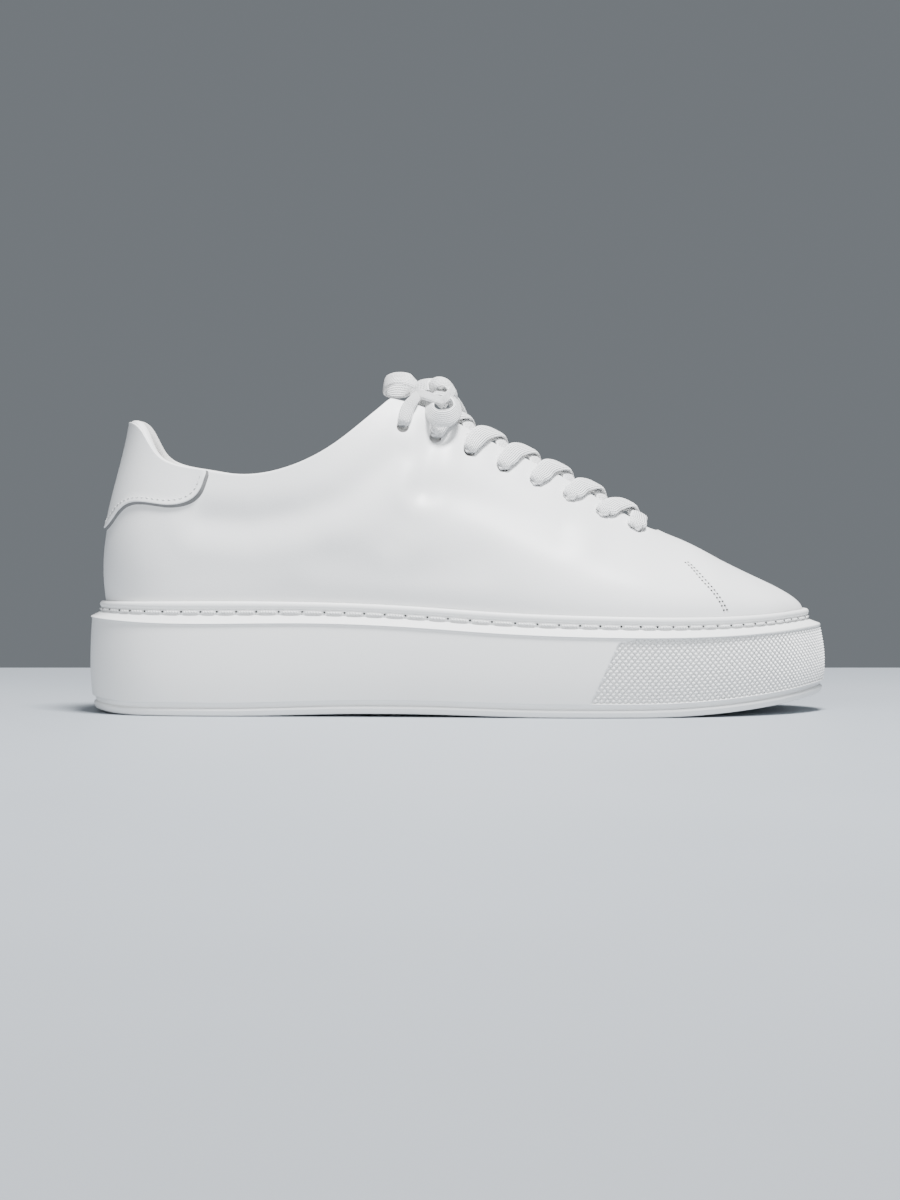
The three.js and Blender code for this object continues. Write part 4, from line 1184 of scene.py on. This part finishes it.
def crossing(row):
    """The two laces of a row; the lateral one lies over the medial one."""
    parts = []
    for side in (LATERAL, MEDIAL):
        x = last(side, *[q[row] for q in eyelets[side]])[0]
        stops = from_hole(side, x, LACE_REACH, 1.7)
        far, _ = beside(-side, x + LACE_REACH, throat_half(x) - 0.4, 1.2)
        end = far + np.array([0, side * 3.6, -0.2])
        over = 0.8 if side == LATERAL else -0.7
        mid = mix(stops[-1][0], end, 0.5) + RIDGE_UP * (3.2 + over)
        late = mix(stops[-1][0], end, 0.86) + RIDGE_UP * (1.4 + over * 0.4)
        under = end + np.array([0, -side * 3.2, -3.4])
        stops += [(mid, RIDGE_UP), (late, RIDGE_UP), (end - RIDGE_UP * 0.5, RIDGE_UP), (under, RIDGE_UP)]
        parts.append(ribbon([q[0] for q in stops], [q[1] for q in stops],
                            HOLE_WIDTH + [7.0, 6.8, 6.2, 5.6], HOLE_THICK + [1.8, 1.8, 1.8, 1.8]))
    return parts


def bar():
    halves = {}
    for side in (LATERAL, MEDIAL):
        x = last(side, *[q[0] for q in eyelets[side]])[0]
        halves[side] = from_hole(side, x, 2.0, 1.7)
    a, b = halves[LATERAL], halves[MEDIAL]
    ridge = (mix(a[-1][0], b[-1][0], 0.5) + RIDGE_UP * 1.6, RIDGE_UP)
    stops = a + [ridge] + b[::-1]
    return [ribbon([q[0] for q in stops], [q[1] for q in stops],
                   HOLE_WIDTH + [7.0] + HOLE_WIDTH[::-1], HOLE_THICK + [1.8] + HOLE_THICK[::-1])]


def tie():
    """The two laces from the top pair of holes up into the knot."""
    parts = []
    for side in (LATERAL, MEDIAL):
        x = last(side, *[q[EYELET_ROWS - 1] for q in eyelets[side]])[0]
        stops = from_hole(side, x, TIE_REACH, 1.6)
        top = np.array([KNOT[0] - 3.4, side * 3.2, KNOT[2] - 2.6])
        middle = mix(stops[-1][0], top, 0.55) + RIDGE_UP * 0.8
        back = np.array([KNOT[0] - 2.0, -side * 2.2, KNOT[2] - 1.6])
        stops += [(middle, unit(stops[-1][1] + RIDGE_UP)), (top, RIDGE_UP), (back, RIDGE_UP)]
        parts.append(ribbon([q[0] for q in stops], [q[1] for q in stops],
                            [3.0, 3.4, 4.6, 5.6, 5.4, 4.4, 4.0, 3.8, 3.6], HOLE_THICK + [2.2, 2.3, 2.4]))
    return parts


lace_weave = woven("woven lace")
lacing = [part for row in range(1, EYELET_ROWS - 1) for part in crossing(row)] + bar() + tie()
points, faces, uv = joined(lacing)
lacework = build("lacework", points, faces, lace_weave, uv, smooth_angle=60)
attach(lacework, "root")
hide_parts("lace_bar_1", "lace_tie", *[f"lace_crossing_{row}" for row in range(2, 8)])

# Bow
# The same lace tied on top: one loop lies back over the ankle, one hangs over the outer side,
# and both ends fall on the inner side. Its knot is a few tight turns.
BOW = {
    "lace_loop_heel": [(-17.7, 2.6, 132.6), (-21, 1.8, 134.8), (-26, 3.8, 135.2), (-29.6, 9, 133.6),
                       (-29.8, 16.6, 131.8), (-26, 21.6, 131), (-21, 19.6, 131.2), (-18.4, 12.6, 131.4)],
    "lace_loop_side": [(-9.1, -6.1, 129), (-5.2, -8.8, 128), (-1.6, -13.4, 125.6), (-0.9, -18.6, 121.6),
                       (-4, -23.4, 118.6), (-8.6, -23.6, 118.4), (-11.6, -19, 121), (-11.6, -12.8, 124.8),
                       (-10.6, -9.2, 127)],
    "lace_end_toe": [(-6.9, -0.4, 131.5), (-3.6, 5.4, 128.4), (-0.4, 11.2, 122.7), (0.8, 15.3, 118),
                     (0.8, 20.4, 110.1), (0.6, 26.3, 98.3), (0.5, 28.6, 92.5)],
    "lace_end_heel": [(-15.4, 8.2, 131.2), (-14.6, 12.2, 128.8), (-13.6, 16.2, 124.3), (-13.5, 20.1, 117.7),
                      (-13.7, 26.2, 104.7), (-13.9, 29.2, 96)],
}
# the thin way of the lace at each of those points
FACES = {
    "lace_loop_heel": [(0, -0.5, 0.9), (0, -0.7, 0.8), (-0.3, -0.7, 0.7), (-0.9, -0.4, 0.3),
                       (-1, 0.3, 0), (-0.4, 1, -0.3), (0.3, 1, -0.4), (0.7, 0.6, -0.5)],
    "lace_loop_side": [(0.2, -0.4, 1), (0.5, -0.5, 0.9), (0.8, -0.5, 0.7), (0.9, -0.4, 0.3),
                       (0.5, -1, -0.1), (-0.4, -1, -0.1), (-0.9, -0.4, 0.3), (-0.6, -0.5, 0.8),
                       (-0.4, -0.3, 0.9)],
    "lace_end_toe": [(0.4, -0.2, 1), (0.4, 0.2, 1), (0.4, 0.6, 0.8), (0.3, 0.8, 0.6), (0.2, 0.9, 0.4),
                     (0.1, 1, 0.35), (0.1, 1, 0.3)],
    "lace_end_heel": [(0, 0.3, 1), (0, 0.5, 0.9), (0, 0.7, 0.7), (0, 0.85, 0.5), (0, 0.95, 0.4),
                      (0, 1, 0.35)],
}
# the side loop is bunched beside the knot and spreads where it hangs
SIDE_LOOP_WIDTH = [4.4, 4.4, 4.6, 5.8, 7.0, 7.0, 5.8, 4.6, 4.4]
KNOT_TURNS = [
    # the turn over the top of the knot
    ([(-14.6, -5.2, 129.2), (-15.0, -2.5, 132.6), (-13.4, 1, 134.0), (-11.0, 3.4, 133.4),
      (-9.0, 4.6, 130.6)],
     [(-0.4, -1, 0.3), (-0.3, -0.5, 1), (0, 0.2, 1), (0.3, 0.7, 0.8), (0.5, 1, 0.2)], 5.6, 2.0),
    # the turn across its front
    ([(-17.4, -3.4, 129.4), (-15.8, -9.4, 128.6), (-12.0, -14.2, 127.2), (-8.2, -15.6, 125.8),
      (-5.0, -14.2, 124.6)],
     [(-0.5, -1, 0.3), (-0.2, -1, 0.5), (0, -1, 0.6), (0.2, -1, 0.5), (0.6, -0.8, 0.2)], 4.0, 2.0),
    # the fold that stands up on the toe side
    ([(-12.0, -2.0, 129.6), (-9.4, -4.2, 133.2), (-6.0, -4.6, 133.4), (-3.2, -4.2, 130.6),
      (-1.8, -3.6, 127.2), (-3.4, -3.0, 125.2)],
     [(-0.6, -0.8, 0.4), (-0.2, -0.7, 0.8), (0.3, -0.5, 0.9), (0.8, -0.4, 0.6), (1, -0.2, 0),
      (0.4, -0.3, -0.9)],
     6.6, 1.7),
    # the short strand that slants under it
    ([(-2.6, -6.2, 130.2), (-4.0, -11.6, 128.0), (-6.4, -15.2, 125.6), (-8.4, -15.0, 123.4)],
     [(0.4, -1, 0.4), (0.3, -1, 0.4), (0.1, -1, 0.3), (0, -1, 0)], 3.6, 1.9),
]

points, faces, uv = joined([ribbon(*turn) for turn in KNOT_TURNS])
knot = build("bow_knot", points, faces, lace_weave, uv, smooth_angle=60)
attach(knot, "root")
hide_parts("lace_knot")
for node, route in BOW.items():
    ends_free = node.startswith("lace_end")
    width = [6.2] + [7.0] * (len(route) - 2) + ([3.2] if ends_free else [5.6])
    if node == "lace_loop_side":
        width = SIDE_LOOP_WIDTH
    thick = [1.9] + [1.5] * (len(route) - 2) + [2.0]
    points, faces, uv, path = ribbon(route, FACES[node], width, thick, 6)
    cord = build("flat_" + node, points, faces, lace_weave, uv, smooth_angle=60)
    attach(cord, "root")
    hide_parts(node)

# Floor and light
# The shoe stands on a pale blue-grey floor. A broad soft light hangs over it and a weaker one
# fills from the camera's side, so that only a short dark shadow lies along the sole.
FLOOR_SIDE, FLOOR_FRONT, FLOOR_BACK = 2500.0, -1900.0, 362.0
COOL = (0.975, 0.985, 1.0)
BACKDROP, BACKDROP_STRENGTH = (0.58, 0.635, 0.69, 1), 0.3

floor_corners = np.array([(-FLOOR_SIDE, FLOOR_FRONT, 0), (FLOOR_SIDE, FLOOR_FRONT, 0),
                          (FLOOR_SIDE, FLOOR_BACK, 0), (-FLOOR_SIDE, FLOOR_BACK, 0)])
plane = build("floor", floor_corners, [(0, 1, 2, 3)], None)
floor = Finish("painted floor")
floor_cloud = floor.noise(5, 5)
plane.data.materials.append(floor.shade({
    "Base Color": floor.tint(floor_cloud, (0.335, 0.363, 0.396), (0.363, 0.39, 0.423)),
    "Roughness": floor_cloud * 0.1 + 0.5,
    "Normal": floor.bump(floor.noise(900, 2), 0.05, 0.5),
}))


def lamp(name, place, aim, size, watts, tint):
    """A rectangular light at place, in millimetres, turned to face aim."""
    data = bpy.data.lights.new(name, "AREA")
    data.shape, data.size, data.size_y = "RECTANGLE", size[0] * MM, size[1] * MM
    data.energy, data.color = watts, tint
    light = bpy.data.objects.new(name, data)
    bpy.context.scene.collection.objects.link(light)
    light.location = Vector(place) * MM
    light.rotation_euler = (Vector(aim) - Vector(place)).to_track_quat("-Z", "Y").to_euler()
    return light


lamp("overhead softbox", (180, -330, 1300), (0, 0, 40), (340, 300), 62, COOL)
lamp("front fill", (-250, -2100, 700), (0, 0, 70), (1800, 900), 30, COOL)
world = bpy.data.worlds.new("studio")
world.use_nodes = True
world.node_tree.nodes["Background"].inputs["Color"].default_value = BACKDROP
world.node_tree.nodes["Background"].inputs["Strength"].default_value = BACKDROP_STRENGTH
bpy.context.scene.world = world
